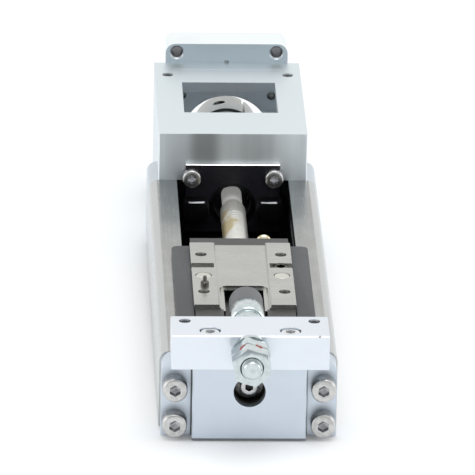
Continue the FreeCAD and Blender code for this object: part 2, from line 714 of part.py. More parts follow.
def make_ball_screw():
    """The screw with its two journals, its stub for the coupling and what is fixed to its ends."""
    nose = f"({RAIL_FRONT} - front_bearing_width)"
    front = f"({RAIL_FRONT} + thread_end_gap)"
    rear = f"({HOLDER_FRONT} + thread_reach)"
    collar_start = f"({HOUSING_REAR} - rear_bearing_inset)"
    collar_end = f"({collar_start} + lock_ring_width)"
    tail = DISC_FRONT
    thread, journal, stub = "screw_diameter / 2", "journal_diameter / 2", "stub_diameter / 2"
    screw = turned("ball_screw", [
        (nose, "0"), (tail, "0"), (tail, stub), (collar_end, stub), (collar_end, journal), (rear, journal),
        (rear, thread), (front, thread), (front, journal), (nose, journal)], z=SCREW_AXIS)
    lock = ring("bearing_lock_ring", collar_start, collar_end, "lock_ring_outside", "journal_diameter",
                SCREW_AXIS)
    washer = ring("screw_end_washer", f"({nose} - end_washer_width)", nose,
                  "(front_bore - 2 * end_washer_gap)", "m25_thread", SCREW_AXIS)
    bolt = cap_screw("screw_end_bolt", "m25", "end_washer_width")
    place(bolt, y=f"{nose} - end_washer_width", z=SCREW_AXIS)
    return [screw, lock, washer, bolt]


def make_hub(name, front, bore):
    """A clamp hub of the coupling: bored, slit on one side and cross drilled for its screw."""
    item = ring(name, front, f"({front} + hub_length)", "hub_diameter", bore, "0")
    slit = box_outline(draw_on(item, "XZ", front), "-hub_slit / 2", "0", "hub_slit / 2", "hub_diameter")
    pocket(item, slit, "hub_length")
    hole = circles(draw_on(item, "YZ", "-hub_diameter / 2"), [(f"{front} + hub_length / 2", "clamp_offset")],
                   "clamp_bore")
    pocket(item, hole, "hub_diameter / 2 - hub_slit", reverse=True)
    spot = [(f"{front} + hub_length / 2", "clamp_offset")]
    thread = circles(draw_on(item, "YZ", "-hub_diameter / 2"), spot, "clamp_thread")
    pocket(item, thread, "hub_diameter", reverse=True)
    return place(item, z=SCREW_AXIS, rotation=(ABOUT_Y, number("hub_turn")))


def make_coupling():
    front = make_hub("coupling_front_hub", HUB_FRONT, "stub_diameter")
    rear = make_hub("coupling_rear_hub", HUB_REAR, "motor_shaft")
    disc = ring("coupling_disc", DISC_FRONT, HUB_REAR, "disc_diameter", "disc_bore", SCREW_AXIS)
    return [front, rear, disc]


def make_slide_block():
    item = new_body("slide_block")
    half = BLOCK_HALF
    section = outline(draw_on(item, "XZ", BLOCK_FRONT), [
        (f"-{GUIDE_HALF}", BLOCK_FLOOR), (GUIDE_HALF, BLOCK_FLOOR), (GUIDE_HALF, BLOCK_SHOULDER),
        (half, BLOCK_SHOULDER), (half, BLOCK_TOP), (PAD_INNER, BLOCK_TOP), (PAD_INNER, MIDDLE_TOP),
        (f"-{PAD_INNER}", MIDDLE_TOP), (f"-{PAD_INNER}", BLOCK_TOP), (f"-{half}", BLOCK_TOP),
        (f"-{half}", BLOCK_SHOULDER), (f"-{GUIDE_HALF}", BLOCK_SHOULDER)])
    pad(item, section, "block_length", reverse=True)
    break_edges(item, lambda middle, direction: near(middle.z, BLOCK_TOP) and not near(middle.y, BLOCK_FRONT))
    notch_end = f"({BLOCK_FRONT} + notch_length)"
    floor = f"({MIDDLE_TOP} - notch_depth)"
    notch = box_outline(draw_on(item, "XY", MIDDLE_TOP), f"-({PAD_INNER} - notch_margin)", BLOCK_FRONT,
                        f"{PAD_INNER} - notch_margin", notch_end)
    pocket(item, notch, "notch_depth")
    round_edges(item, "notch_corner",
                lambda middle, direction: along(direction, "z") and near(middle.y, notch_end))
    slot_half = f"({PAD_INNER} - notch_margin - stop_slot_margin)"
    stop = box_outline(draw_on(item, "XY", floor), f"-{slot_half}", BLOCK_FRONT, slot_half,
                       f"{notch_end} - notch_depth")
    pocket(item, stop, f"{floor} - {STOP_SLOT_FLOOR}")
    grooves = four(CHANNEL_HALF, GROOVE_LOW, GROOVE_HIGH)
    pocket(item, circles(draw_on(item, "XZ", BLOCK_FRONT), grooves, "2 * groove_radius"), "block_length")
    pocket(item, circles(draw_on(item, "XZ", BLOCK_FRONT), [("0", SCREW_AXIS)], "nut_bore"), "block_length")
    slot = f"({BLOCK_FRONT} + slot_front)"
    for sign in ("-", "+"):
        start = f"{sign}({PAD_INNER} + slot_inset)"
        end = f"{sign}({half})"
        recess = box_outline(draw_on(item, "XY", BLOCK_TOP), start, slot, end, f"{slot} + slot_length")
        pocket(item, recess, "slot_depth")
    holes = four(f"{BLOCK_HALF} - table_hole_edge", f"{BLOCK_FRONT} + table_hole_front",
                 f"{BLOCK_FRONT} + table_hole_front + table_hole_pitch")
    pocket(item, circles(draw_on(item, "XY", BLOCK_TOP), holes, "m4_core"), "table_hole_depth")
    plugs = pair(PLUG_X, f"{BLOCK_FRONT} + plug_front")
    pocket(item, circles(draw_on(item, "XY", BLOCK_TOP), plugs, "plug_diameter"), "plug_depth")
    screw = [(PLUG_X, f"{slot} + slot_length / 2")]
    pocket(item, circles(draw_on(item, "XY", BLOCK_TOP), screw, "set_screw_diameter"),
           "slot_depth - set_screw_rise + set_screw_length")
    pin = [(f"-({BLOCK_HALF} - pin_edge)", f"{BLOCK_FRONT} + pin_front")]
    pocket(item, circles(draw_on(item, "XY", BLOCK_TOP), pin, "pin_base"), "pin_seat")
    pocket(item, circles(draw_on(item, "XZ", BLOCK_FRONT), END_SCREWS, "m25_thread"), "m25_bite + 1")
    pocket(item, circles(draw_on(item, "XZ", BLOCK_REAR), END_SCREWS, "m25_thread"), "m25_bite + 1",
           reverse=True)
    return item


def make_block_fittings():
    """The small pieces that are fitted into the slider block."""
    nut = ring("ball_nut", f"({BLOCK_FRONT} + nut_inset)", f"({BLOCK_REAR} - nut_inset)", "nut_bore",
               "(screw_diameter + 2 * run_gap)", SCREW_AXIS)
    up = (ABOUT_X, 90)
    radius = "plug_diameter / 2"
    plug = turned("ball_plug", [("0", "0"), ("plug_depth", "0"), ("plug_depth", radius), ("0", radius)])
    plugs = [(x, y, f"{BLOCK_TOP} - plug_depth") for x, y in pair(PLUG_X, f"{BLOCK_FRONT} + plug_front")]
    screw = turned("set_screw", [
        ("0", "0"), ("set_screw_length", "0"), ("set_screw_length", "set_screw_diameter / 2"),
        ("0", "set_screw_diameter / 2")])
    socket = hexagon(draw_on(screw, "XZ", "set_screw_length"), "set_screw_key", turn="30")
    pocket(screw, socket, "set_screw_length / 2", reverse=True)
    place(screw, PLUG_X, f"{BLOCK_FRONT} + slot_front + slot_length / 2",
          f"{BLOCK_TOP} - slot_depth + set_screw_rise - set_screw_length", up)
    pin = turned("locating_pin", [
        ("-pin_seat", "0"), ("pin_height", "0"), ("pin_height", "pin_stem / 2"),
        ("pin_base_height", "pin_stem / 2"), ("pin_base_height", "pin_base / 2"),
        ("-pin_seat", "pin_base / 2")])
    place(pin, f"-({BLOCK_HALF} - pin_edge)", f"{BLOCK_FRONT} + pin_front", BLOCK_TOP, up)
    return [nut, group("ball_plugs", plug, plugs, up), screw, pin]


def make_end_plate(name, front, notched):
    """A moulded end plate of the carriage: the front one is cut away for the stop."""
    item = new_body(name)
    half, upper = f"({GUIDE_HALF} - edge_break)", f"({BLOCK_HALF} - wiper_gap)"
    top = [(upper, END_PLATE_TOP), (f"-{upper}", END_PLATE_TOP)]
    if notched:
        cut = "end_plate_notch / 2"
        top = [(upper, END_PLATE_TOP), (cut, END_PLATE_TOP), (cut, STOP_SLOT_FLOOR),
               (f"-{cut}", STOP_SLOT_FLOOR), (f"-{cut}", END_PLATE_TOP), (f"-{upper}", END_PLATE_TOP)]
    section = [(f"-{half}", BLOCK_FLOOR), (half, BLOCK_FLOOR),
               (half, BLOCK_SHOULDER), (upper, BLOCK_SHOULDER)]
    section += top + [(f"-{upper}", BLOCK_SHOULDER), (f"-{half}", BLOCK_SHOULDER)]
    pad(item, outline(draw_on(item, "XZ", front), section), "end_plate_depth", reverse=True)
    pocket(item, circles(draw_on(item, "XZ", front), [("0", SCREW_AXIS)],
                         "screw_diameter + 2 * screw_wipe_gap"), "end_plate_depth")
    pocket(item, circles(draw_on(item, "XZ", front), END_SCREWS, M25_CLEAR), "end_plate_depth")
    sink = "m25_head_height + head_sink_gap"
    outer = front if notched else f"({front} + end_plate_depth)"
    pocket(item, circles(draw_on(item, "XZ", outer), END_SCREWS, "m25_head + 2 * bolt_gap"), sink,
           reverse=not notched)
    return item


def make_carriage_ends():
    front = make_end_plate("front_end_plate", f"({BLOCK_FRONT} - end_plate_depth)", True)
    rear = make_end_plate("rear_end_plate", BLOCK_REAR, False)
    screw = cap_screw("end_plate_screw", "m25",
                      "end_plate_depth - m25_head_height - head_sink_gap + m25_bite")
    seats = (f"{BLOCK_FRONT} - end_plate_depth + m25_head_height + head_sink_gap",
             f"{BLOCK_REAR} + end_plate_depth - m25_head_height - head_sink_gap")
    return [front, rear,
            group("front_end_plate_screws", screw, [(x, seats[0], z) for x, z in END_SCREWS]),
            group("rear_end_plate_screws", screw, [(x, seats[1], z) for x, z in END_SCREWS], (ABOUT_Z, 180))]


def make_seals():
    """Flat strips on both sides of the block that cover the gap to the rail."""
    pieces = []
    for name, sign in (("side_seal_left", "-"), ("side_seal_right", "+")):
        item = new_body(name)
        inner, outer = f"{sign}({BLOCK_HALF})", f"{sign}({BLOCK_HALF} + seal_width)"
        plan = box_outline(draw_on(item, "XY", "rail_height + wiper_gap"), inner,
                           f"{BLOCK_FRONT} - seal_reach", outer, f"{BLOCK_REAR} + seal_reach")
        pad(item, plan, "seal_height")
        edge = number(f"{BLOCK_HALF} + seal_width")
        round_edges(item, "seal_corner",
                    lambda middle, direction: along(direction, "z") and abs(abs(middle.x) - edge) < 0.01)
        pieces.append(item)
    return pieces


def make_grease_nipple():
    start = f"({BLOCK_REAR} + end_plate_depth)"
    end = f"({start} + nipple_length)"
    waist, wide = "nipple_waist / 2", "nipple_diameter / 2"
    return turned("grease_nipple", [
        (start, "0"), (end, "0"), (end, f"{wide} - nipple_dome"), (f"{end} - nipple_dome", wide),
        (f"{start} + nipple_collar", wide), (f"{start} + nipple_collar", waist), (start, waist)],
        x="nipple_offset", z="rail_height - nipple_drop")


def make_all():
    pieces = [make_guide_rail(), make_front_housing(), make_rear_housing(), make_bearing_holder(),
              make_motor_bracket(), make_motor_flange(), make_stop_plate(), make_slide_block(),
              make_grease_nipple()]
    for made in (make_stop(), make_fasteners(), make_end_bumpers(), make_bearings(), make_ball_screw(),
                 make_coupling(), make_block_fittings(), make_carriage_ends(), make_seals()):
        pieces.extend(made)
    return pieces


def check(pieces):
    for item in doc.Objects:
        if "Invalid" in item.State or "Error" in item.State:
            raise RuntimeError(f"{item.Name} failed: {item.State}")
    for item in pieces:
        if item.Shape.isNull() or not item.Shape.isValid() or not item.Shape.Solids:
            raise RuntimeError(f"{item.Label} has no valid solid")


pieces = make_all()
doc.recompute()
check(pieces)
os.makedirs("parts", exist_ok=True)
for item in pieces:
    item.Shape.exportStep(f"parts/{item.Label}.step")
print(len(pieces), "pieces written")
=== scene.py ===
# %% [markdown]
# # An electric slide table
# A ball screw lies in a U-shaped steel rail and drives a low carriage between an adjustable stop
# and a motor bracket. The solids come ready from the CAD frame, in metres, each with its place in
# its mesh. This lesson gives them their metal and plastic, and models again the small pieces that a
# smooth solid can't show: cap screws, nuts, the screw's groove, the bumpers and the side strips.

# %% Load the frame
import json
import math

import bmesh
import bpy
from mathutils import Matrix, Vector


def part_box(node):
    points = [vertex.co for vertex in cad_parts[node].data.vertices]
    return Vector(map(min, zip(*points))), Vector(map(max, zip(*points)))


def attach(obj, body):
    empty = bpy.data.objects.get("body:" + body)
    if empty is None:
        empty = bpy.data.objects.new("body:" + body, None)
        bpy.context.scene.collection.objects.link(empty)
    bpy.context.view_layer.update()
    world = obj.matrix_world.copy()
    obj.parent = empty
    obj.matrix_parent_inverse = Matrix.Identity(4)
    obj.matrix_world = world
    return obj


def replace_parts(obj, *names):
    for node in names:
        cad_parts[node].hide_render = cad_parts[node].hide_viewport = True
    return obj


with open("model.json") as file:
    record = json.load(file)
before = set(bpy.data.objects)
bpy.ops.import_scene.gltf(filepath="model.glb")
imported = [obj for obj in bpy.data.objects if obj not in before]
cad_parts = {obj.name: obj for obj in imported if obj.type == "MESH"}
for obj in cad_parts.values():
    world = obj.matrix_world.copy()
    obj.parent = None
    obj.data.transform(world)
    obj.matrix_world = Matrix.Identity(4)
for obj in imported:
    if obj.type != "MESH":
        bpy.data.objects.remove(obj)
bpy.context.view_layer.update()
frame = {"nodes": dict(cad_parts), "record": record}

nodes = frame["nodes"]
record = frame["record"]
slot_of = {entry["node"]: entry["material_slot"] for entry in record["subparts"]}
body_of = {node: body for body, members in record["behaviour"]["bodies"].items() for node in members}
MM = 0.001
FEATHER = 0.1 * MM

# %% [markdown]
# ## Writing shader maths as Python
# A material is a graph of nodes. One small class wraps a node's output, so that `1 - mask * 0.5`
# adds the Math nodes by itself. Its method `node` adds any other kind of node: settings go on first,
# then numbers or links on the sockets.

# %% A socket that Python's operators work on
class Wire:
    """A node's output; sums and products of wires add Math nodes."""

    def __init__(self, socket):
        self.socket = socket

    def node(self, kind, settings=None, inputs=None, output=0):
        tree = self.socket.id_data
        made = tree.nodes.new(kind)
        for key, value in (settings or {}).items():
            setattr(made, key, value)
        for key, value in (inputs or {}).items():
            socket = made.inputs[key] if isinstance(key, int) else next(
                s for s in made.inputs if key in (s.identifier, s.name) and s.enabled)
            if isinstance(value, Wire):
                tree.links.new(value.socket, socket)
            else:
                socket.default_value = value
        return Wire([s for s in made.outputs if s.enabled][output])

    def maths(self, operation, other=0.0, swap=False):
        pair = (other, self) if swap else (self, other)
        return self.node("ShaderNodeMath", {"operation": operation}, dict(enumerate(pair)))

    def __add__(self, other):
        return self.maths("ADD", other)

    def __sub__(self, other):
        return self.maths("SUBTRACT", other)

    def __rsub__(self, other):
        return self.maths("SUBTRACT", other, swap=True)

    def __mul__(self, other):
        return self.maths("MULTIPLY", other)

    __radd__ = __add__

    def between(self, low, high):
        """A soft step from 0 at low to 1 at high."""
        return self.node("ShaderNodeMapRange", {"interpolation_type": "SMOOTHSTEP"},
                         {"Value": self, "From Min": low, "From Max": high})

    def noise(self, scale, detail=3.0, stretch=(1, 1, 1)):
        """Noise on these coordinates; a small number in stretch draws it out along that axis."""
        spot = self.node("ShaderNodeVectorMath", {"operation": "MULTIPLY"}, {0: self, 1: stretch})
        return self.node("ShaderNodeTexNoise", None, {"Vector": spot, "Scale": scale, "Detail": detail})

    def axis(self, letter):
        return self.node("ShaderNodeSeparateXYZ", None, {0: self}, output="XYZ".index(letter))

    def vector(self, operation, other=(0, 0, 0)):
        return self.node("ShaderNodeVectorMath", {"operation": operation}, {0: self, 1: other})

    def aside(self):
        """The distance from the plane x = 0."""
        return self.vector("ABSOLUTE").axis("X")

    def well(self, along, middle, spread, radius, soft=0.05, deep=None):
        """1 inside round holes along an axis, mirrored both ways at a spread from a middle."""
        flat = tuple(0.0 if letter == along else 1.0 for letter in "XYZ")
        aside = self.vector("SUBTRACT", middle).vector("ABSOLUTE").vector("MULTIPLY", flat)
        inside = 1 - aside.vector("DISTANCE", spread).between(radius, radius * (1 + soft))
        return inside * self.axis(along).between(*deep) if deep else inside

    def slab(self, letter, low, high, soft=FEATHER):
        """1 where a coordinate lies between low and high, with soft edges outside them."""
        place = self.axis(letter)
        return place.between(low - soft, low) * (1 - place.between(high, high + soft))

    def blend(self, low, high):
        """Colour low where this wire is 0, colour high where it is 1."""
        colours = [(*c, 1.0) if isinstance(c, tuple) else c for c in (low, high)]
        return self.node("ShaderNodeMix", {"data_type": "RGBA"},
                         {"Factor_Float": self, "A_Color": colours[0], "B_Color": colours[1]})

    def bump(self, height, depth):
        return self.node("ShaderNodeBump", None, {"Height": height, "Distance": depth, "Strength": 1.0})


def new_finish(name):
    """An empty material with its Principled shader, and the piece's own coordinates in metres."""
    material = bpy.data.materials.new(name)
    material.use_nodes = True
    shader = material.node_tree.nodes["Principled BSDF"]
    coords = material.node_tree.nodes.new("ShaderNodeTexCoord").outputs["Object"]
    return material, shader, Wire(coords)


def wear(shader, **sockets):
    """Sets or links the shader's sockets, named with _ for a space."""
    for key, value in sockets.items():
        socket = shader.inputs[key.replace("_", " ")]
        if isinstance(value, Wire):
            socket.id_data.links.new(value.socket, socket)
        else:
            socket.default_value = value


print("shader tools ready")

# %% [markdown]
# ## Ground steel
# The rail and the slider block are hardened steel. The rail is ground along its length, the block
# across it. Grinding leaves fine parallel scratches, so the noise is stretched along one axis. A slow
# cloudy noise adds the faint staining of handled steel. Both go into the roughness, and the scratches
# into a small bump. A hole swallows light, so a mask from the hole's own axis darkens its wall.

# %% Make the ground steel finishes
# Near black, used as painted shade in the block's stop slot, the rear housing's bore and its front inside the
# channel.
PAINTED_SHADE = (0.030, 0.031, 0.033)
mounts = {mount["name"]: mount for mount in record["mounts"]}


def finish(name, paint, holes=(), marks=()):
    """A material from the sockets that paint gives, with (hole, colour) and (mask, colour) pairs."""
    material, shader, coords = new_finish(name)
    sockets = paint(coords)
    for hole, colour in holes:
        sockets["Base_Color"] = coords.well(**hole).blend(sockets["Base_Color"], colour)
    for mask, colour in marks:
        sockets["Base_Color"] = mask(coords).blend(sockets["Base_Color"], colour)
    wear(shader, **sockets)
    return material


def mount_holes(name, colour, rim=0.0):
    """The holes of a bolt pattern in the record, widened by a rim, for a finish to darken."""
    mount = mounts[name]
    dims = mount["dims"]
    along = "Z" if mount["axis"][2] else "Y"
    spread = [dims["spacing_x_mm"] / 2 * MM, dims.get("spacing_y_mm", 0) / 2 * MM, 0]
    face = mount["pos_m"]["XYZ".index(along)]
    deep = (face - 0.1 * MM, face - 0.8 * MM) if along == "Z" else None
    return {"along": along, "middle": mount["pos_m"], "spread": spread, "deep": deep,
            "radius": (dims["hole_r_mm"] + rim) * MM}, colour


def ground_steel(colour, stain, along, rough):
    def paint(coords):
        stretch = tuple(0.02 if letter == along else 1.0 for letter in "XYZ")
        scratches = coords.noise(9000, 2.0, stretch)
        bands = coords.noise(1400, 2.0, stretch)
        clouds = coords.noise(90, 4.0)
        tone = (clouds * 0.6 + bands * 0.4).between(0.38, 0.68)
        return {"Base_Color": tone.blend(stain, colour), "Metallic": 1.0,
                "Roughness": rough + (scratches - 0.5) * 0.2 + (clouds - 0.5) * 0.12,
                "Normal": coords.bump(scratches, 0.00001)}
    return paint


rail_low, rail_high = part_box("guide_rail")
SLOT_HALF, SLOT_LENGTH, SLOT_DROP = 7.0 * MM, 16.5 * MM, 2.1 * MM
EDGE_START, EDGE_END = 2.7 * MM, 2.3 * MM
SHADE_START, SHADE_END, SHADE_MOST = -10 * MM, 80 * MM, 0.45
CHANNEL_HALF, GROOVE_HALF, GROOVE_TOP = 16.5 * MM, 19.5 * MM, 0.5 * MM


def stop_slot(coords, block=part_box("slide_block")):
    """1 inside the slot in the block's front that takes the stop, which painted shade darkens."""
    top, end = block[1].z - SLOT_DROP, block[0].y + SLOT_LENGTH
    below = 1 - coords.axis("Z").between(top, top + 2 * FEATHER)
    before = 1 - coords.axis("Y").between(end, end + FEATHER)
    return coords.slab("X", -SLOT_HALF, SLOT_HALF) * below * before


def lit_rail_sides(coords):
    """1 on the rail's outer sides: painted light makes them lighter than the ground top."""
    return coords.aside().between(rail_high.x - EDGE_START, rail_high.x - EDGE_END)


def rail_shade(coords):
    """A slow rise towards the motor end, where the tall bracket mirrors in the rail."""
    return coords.axis("Y").between(SHADE_START, SHADE_END) * SHADE_MOST


def rail_inside(coords):
    """1 in the rail's channel and its ball grooves, where painted shade keeps the steel dark."""
    aside = coords.aside()
    channel = 1 - aside.between(CHANNEL_HALF + FEATHER / 2, CHANNEL_HALF + FEATHER * 1.5)
    top = rail_high.z - GROOVE_TOP
    below = 1 - coords.axis("Z").between(top, top + FEATHER)
    grooves = (1 - aside.between(GROOVE_HALF, GROOVE_HALF + FEATHER)) * below
    return channel.maths("MAXIMUM", grooves)


rail_paint = ground_steel((0.44, 0.447, 0.437), (0.37, 0.374, 0.36), "Y", 0.25)
block_paint = ground_steel((0.515, 0.518, 0.495), (0.455, 0.456, 0.43), "X", 0.27)
finishes = {
    "rail_steel": finish("ground_rail_steel", rail_paint,
                         marks=[(rail_shade, (0.22, 0.23, 0.235)), (lit_rail_sides, (0.53, 0.545, 0.54)),
                                (rail_inside, (0.06, 0.062, 0.065))]),
    "block_steel": finish("ground_block_steel", block_paint,
                          [mount_holes("table_bolts", (0.12, 0.12, 0.117))], [(stop_slot, PAINTED_SHADE)]),
}
print("ground steel:", list(finishes))

# %% [markdown]
# ## Satin aluminium
# The housings, the bracket, the flange and the stop plate are aluminium with a fine satin anodised
# skin. It is even and pale with a tiny grain, a few rubbed spots and fine milling lines, from plain
# noise at three scales. Painted shade darkens the front housing round its four screw heads, and
# painted reflections lighten the bracket's front and lay darker streaks on it.

# %% Make the aluminium finishes
# Colours for the painted reflections on the bracket's front and the painted shade round the front housing's
# screw heads.
STREAK_SHIFT, STREAK_STRETCH = (0.031, 0.0, 0.0), (1.0, 0.0, 0.03)
FRONT_REFLECTION_COLOUR, STREAK_REFLECTION_COLOUR, HEAD_SHADE_COLOUR = (0.93, 0.99, 1.0), (0.42, 0.46, 0.51), (0.16, 0.175, 0.19)
bracket_low, bracket_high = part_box("motor_bracket")


def bracket_face(coords):
    """1 on the bracket's front face."""
    return 1 - coords.axis("Y").between(bracket_low.y + FEATHER, bracket_low.y + 3 * FEATHER)


def satin(colour, shade, rough, head_shade=None, streaks=0.0):
    """Anodised aluminium, with painted shade round screw heads or painted reflections on the bracket's front.
    """
    def paint(coords):
        fine = coords.noise(3800, 2.0)
        mill = coords.noise(1800, 2.0, (1.0, 0.05, 1.0))
        rub = coords.noise(70, 5.0).between(0.45, 0.75)
        base = (rub * 0.7 + fine * 0.3).blend(colour, shade)
        if streaks:
            # Painted reflections: the bracket's front is lightened, and upright darker bands stand for
            # reflections streaking across it.
            reflected_bands = coords.vector("ADD", STREAK_SHIFT).noise(110, 3.0, STREAK_STRETCH).between(0.38, 0.62)
            front = bracket_face(coords)
            base = (front * 0.8).blend(base, FRONT_REFLECTION_COLOUR)
            base = (reflected_bands * front * streaks).blend(base, STREAK_REFLECTION_COLOUR)
        if head_shade:
            base = (coords.well(**head_shade) * 0.25).blend(base, HEAD_SHADE_COLOUR)
        return {"Base_Color": base, "Metallic": 1.0,
                "Roughness": rough + (fine - 0.5) * 0.06 + (mill - 0.5) * 0.06,
                "Normal": coords.bump(fine * 0.6 + mill * 0.4, 0.000005)}
    return paint


housing_colours = (0.62, 0.685, 0.755), (0.58, 0.64, 0.705)
low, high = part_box("front_housing_screws")
M4_HEAD = 6.9
# Painted shade round the front housing's M4 heads: a soft ring centred a little above each head's middle.
HEAD_SHADE_RISE, HEAD_SHADE_RADIUS = 1.2 * MM, 3.0 * MM
heads = Vector((high.x, 0, high.z - low.z)) - Vector((M4_HEAD / 2 * MM, 0, M4_HEAD * MM))
head_shade = {"along": "Y", "middle": (0, 0, (low.z + high.z) / 2 + HEAD_SHADE_RISE),
         "spread": (heads.x, 0, heads.z / 2), "radius": HEAD_SHADE_RADIUS, "soft": 0.9}
low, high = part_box("front_housing")
NOSE_HALF, LINE = 16.0 * MM, 0.35 * MM


def nose_corner(coords, front=low.y):
    """1 along the inner corners where the wings meet the nose: painted shade in the corners."""
    inner = NOSE_HALF - FEATHER / 5
    return (coords.vector("ABSOLUTE").slab("X", inner, NOSE_HALF + LINE, FEATHER / 2)
            * coords.axis("Y").between(front + 3 * FEATHER, front + 5 * FEATHER))


def nose_edges(coords, foot=low.z, top=high.z):
    """1 along the nose's bottom edge and under the stop plate: painted shade, thin contact shadows."""
    height = coords.axis("Z")
    middle = height.between(foot + LINE, foot + 2 * LINE) * (1 - height.between(top - LINE, top - LINE / 2))
    return (1 - middle) * (1 - coords.aside().between(NOSE_HALF, NOSE_HALF + LINE))


def flange_face(coords, ends=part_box("motor_flange")):
    """1 on the flange's front and rear faces: painted shade makes them darker than its sides."""
    return 1 - coords.slab("Y", ends[0].y + 1.5 * FEATHER, ends[1].y - 1.5 * FEATHER)


def bracket_top(coords):
    """Most of 1 on the bracket's top face: painted shade makes it a little darker than its sides."""
    return coords.axis("Z").between(bracket_high.z - FEATHER, bracket_high.z - FEATHER / 2) * 0.75


REFLECTIONS = ((-10.2 * MM, -7.0 * MM, 4.5 * MM, 0.70), (4.5 * MM, 10.5 * MM, 3.0 * MM, 0.22))
WINDOW_HALF, WINDOW_REAR, WINDOW_DEPTH = 15.0 * MM, (114.5 * MM, 117.5 * MM), 3.2 * MM
CAVITY_HALF, WALL_THICKNESS = 16.0 * MM, 6.0 * MM
NICK_INSET, NICK_SIZE = 2.8 * MM, 0.6 * MM


def front_shade(coords):
    """Soft dark reflections on the bracket's front, one on its left and a fainter one on its right."""
    left, right = (coords.slab("X", start, end, soft) * most for start, end, soft, most in REFLECTIONS)
    return (left + right) * bracket_face(coords)


def housing_inside(coords, front=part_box("rear_housing")[0].y):
    """1 on the rear housing's front inside the channel: near-black painted shade."""
    return rail_inside(coords) * (1 - coords.axis("Y").between(front + FEATHER, front + 2 * FEATHER))


def window_rim(coords):
    """1 on the cut wall at the back of the bracket's window, which lies in its own shade."""
    aside = coords.aside().between(WINDOW_HALF, WINDOW_HALF + 2 * FEATHER)
    edge = coords.slab("Z", bracket_high.z - WINDOW_DEPTH, bracket_high.z - 2 * FEATHER)
    return coords.slab("Y", *WINDOW_REAR) * edge * (1 - aside)


def cavity_wall(coords):
    """1 on the wall at the back of the bracket's cavity: painted light makes it bright."""
    rear = bracket_high.y - WALL_THICKNESS
    aside = coords.aside().between(CAVITY_HALF, CAVITY_HALF + 2 * FEATHER)
    return coords.slab("Y", rear - 2 * FEATHER, rear + FEATHER) * (1 - aside)


def plate_nick(coords, corner=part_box("stop_plate")):
    """1 at a small knock on the stop plate's front edge."""
    spot = (corner[1].x - NICK_INSET, corner[0].y, corner[1].z)
    away = coords.vector("DISTANCE", spot) + coords.noise(2500) * NICK_SIZE
    return 1 - away.between(NICK_SIZE, NICK_SIZE * 1.5)


# Holes and bores are darkened with painted shade; each flange ear hole also gets a wider ring of lighter
# painted shade.
axis_height = (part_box("ball_screw")[0].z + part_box("ball_screw")[1].z) / 2
bore = {"along": "Y", "middle": (0, 0, axis_height), "spread": (0, 0, 0)}
front_bore = {**bore, "radius": 4.6 * MM, "deep": (low.y + 1.8 * MM, low.y + 4.2 * MM)}
rear_bore = {**bore, "radius": 6.7 * MM}
finishes["bracket_aluminium"] = finish("satin_aluminium", satin((0.76, 0.82, 0.85), (0.72, 0.78, 0.81), 0.41))
finishes["housing_aluminium"] = finish("satin_housing", satin(*housing_colours, 0.36))
coupling_paint = satin((0.45, 0.465, 0.45), (0.38, 0.395, 0.38), 0.30)
finishes["coupling_aluminium"] = finish("turned_coupling", coupling_paint)
bracket_paint = satin((0.71, 0.765, 0.795), (0.67, 0.725, 0.755), 0.47, streaks=0.30)
own_finish = {
    "motor_bracket": finish("satin_bracket", bracket_paint,
                            [mount_holes("rear_cover_holes", (0.11, 0.115, 0.12))],
                            [(bracket_top, (0.695, 0.755, 0.775)), (window_rim, (0.60, 0.65, 0.69)),
                             (cavity_wall, (0.88, 0.94, 1.0)), (front_shade, (0.25, 0.275, 0.28))]),
    "motor_flange": finish("satin_flange", satin((0.90, 0.945, 0.955), (0.86, 0.905, 0.915), 0.41),
                           [mount_holes("flange_ear_holes", (0.40, 0.43, 0.46), 0.55),
                            mount_holes("flange_ear_holes", (0.12, 0.125, 0.14))],
                           [(flange_face, (0.56, 0.625, 0.665))]),
    "stop_plate": finish("bright_stop_plate", satin((0.78, 0.825, 0.88), (0.74, 0.785, 0.84), 0.32),
                         [mount_holes("front_cover_holes", (0.07, 0.072, 0.075))],
                         [(plate_nick, (0.25, 0.26, 0.27))]),
    "front_housing": finish("dusty_front_housing", satin(*housing_colours, 0.36, head_shade),
                            [(front_bore, (0.06, 0.06, 0.048))],
                            [(nose_corner, (0.13, 0.14, 0.155)), (nose_edges, (0.22, 0.235, 0.255))]),
    "rear_housing": finish("bored_rear_housing", satin((0.60, 0.65, 0.69), (0.56, 0.61, 0.65), 0.36),
                           [(rear_bore, PAINTED_SHADE)], [(housing_inside, PAINTED_SHADE)]),
}
print("aluminium:", [key for key in finishes if "aluminium" in key], "and", list(own_finish))

# %% [markdown]
# ## Screws, zinc, bearing steel and brass
# Plain screws are dull grey steel, the stop's nuts and bolt are zinc plated with a bluish cast, and
# the ball screw is bright but greasy: amber grease gathers in patches along it. The grease is a
# mask from stretched noise, which browns the colour and makes the surface wetter. Where a flash
# would reach into a bore or a tapped hole, the metal gives off a little light of its own.

# %% Make the small metal finishes
BARE_START, BARE_END = 55 * MM, 58 * MM
LIT_START, LIT_END, LIT_SOFT, LIT_COLOUR = 67 * MM, 84 * MM, 2 * MM, (0.22, 0.22, 0.215)
GREASE_COLOUR = (0.58, 0.49, 0.28)


def plain_metal(colour, shade, rough, glow=0.0):
    def paint(coords):
        spots = coords.noise(700, 4.0)
        fine = coords.noise(6000, 2.0)
        return {"Base_Color": spots.between(0.35, 0.7).blend(colour, shade), "Metallic": 1.0,
                "Roughness": rough + (spots - 0.5) * 0.2 + (fine - 0.5) * 0.1,
                "Normal": coords.bump(fine, 0.000008),
                "Emission_Color": (glow, glow, glow, 1.0), "Emission_Strength": 1.0}
    return paint


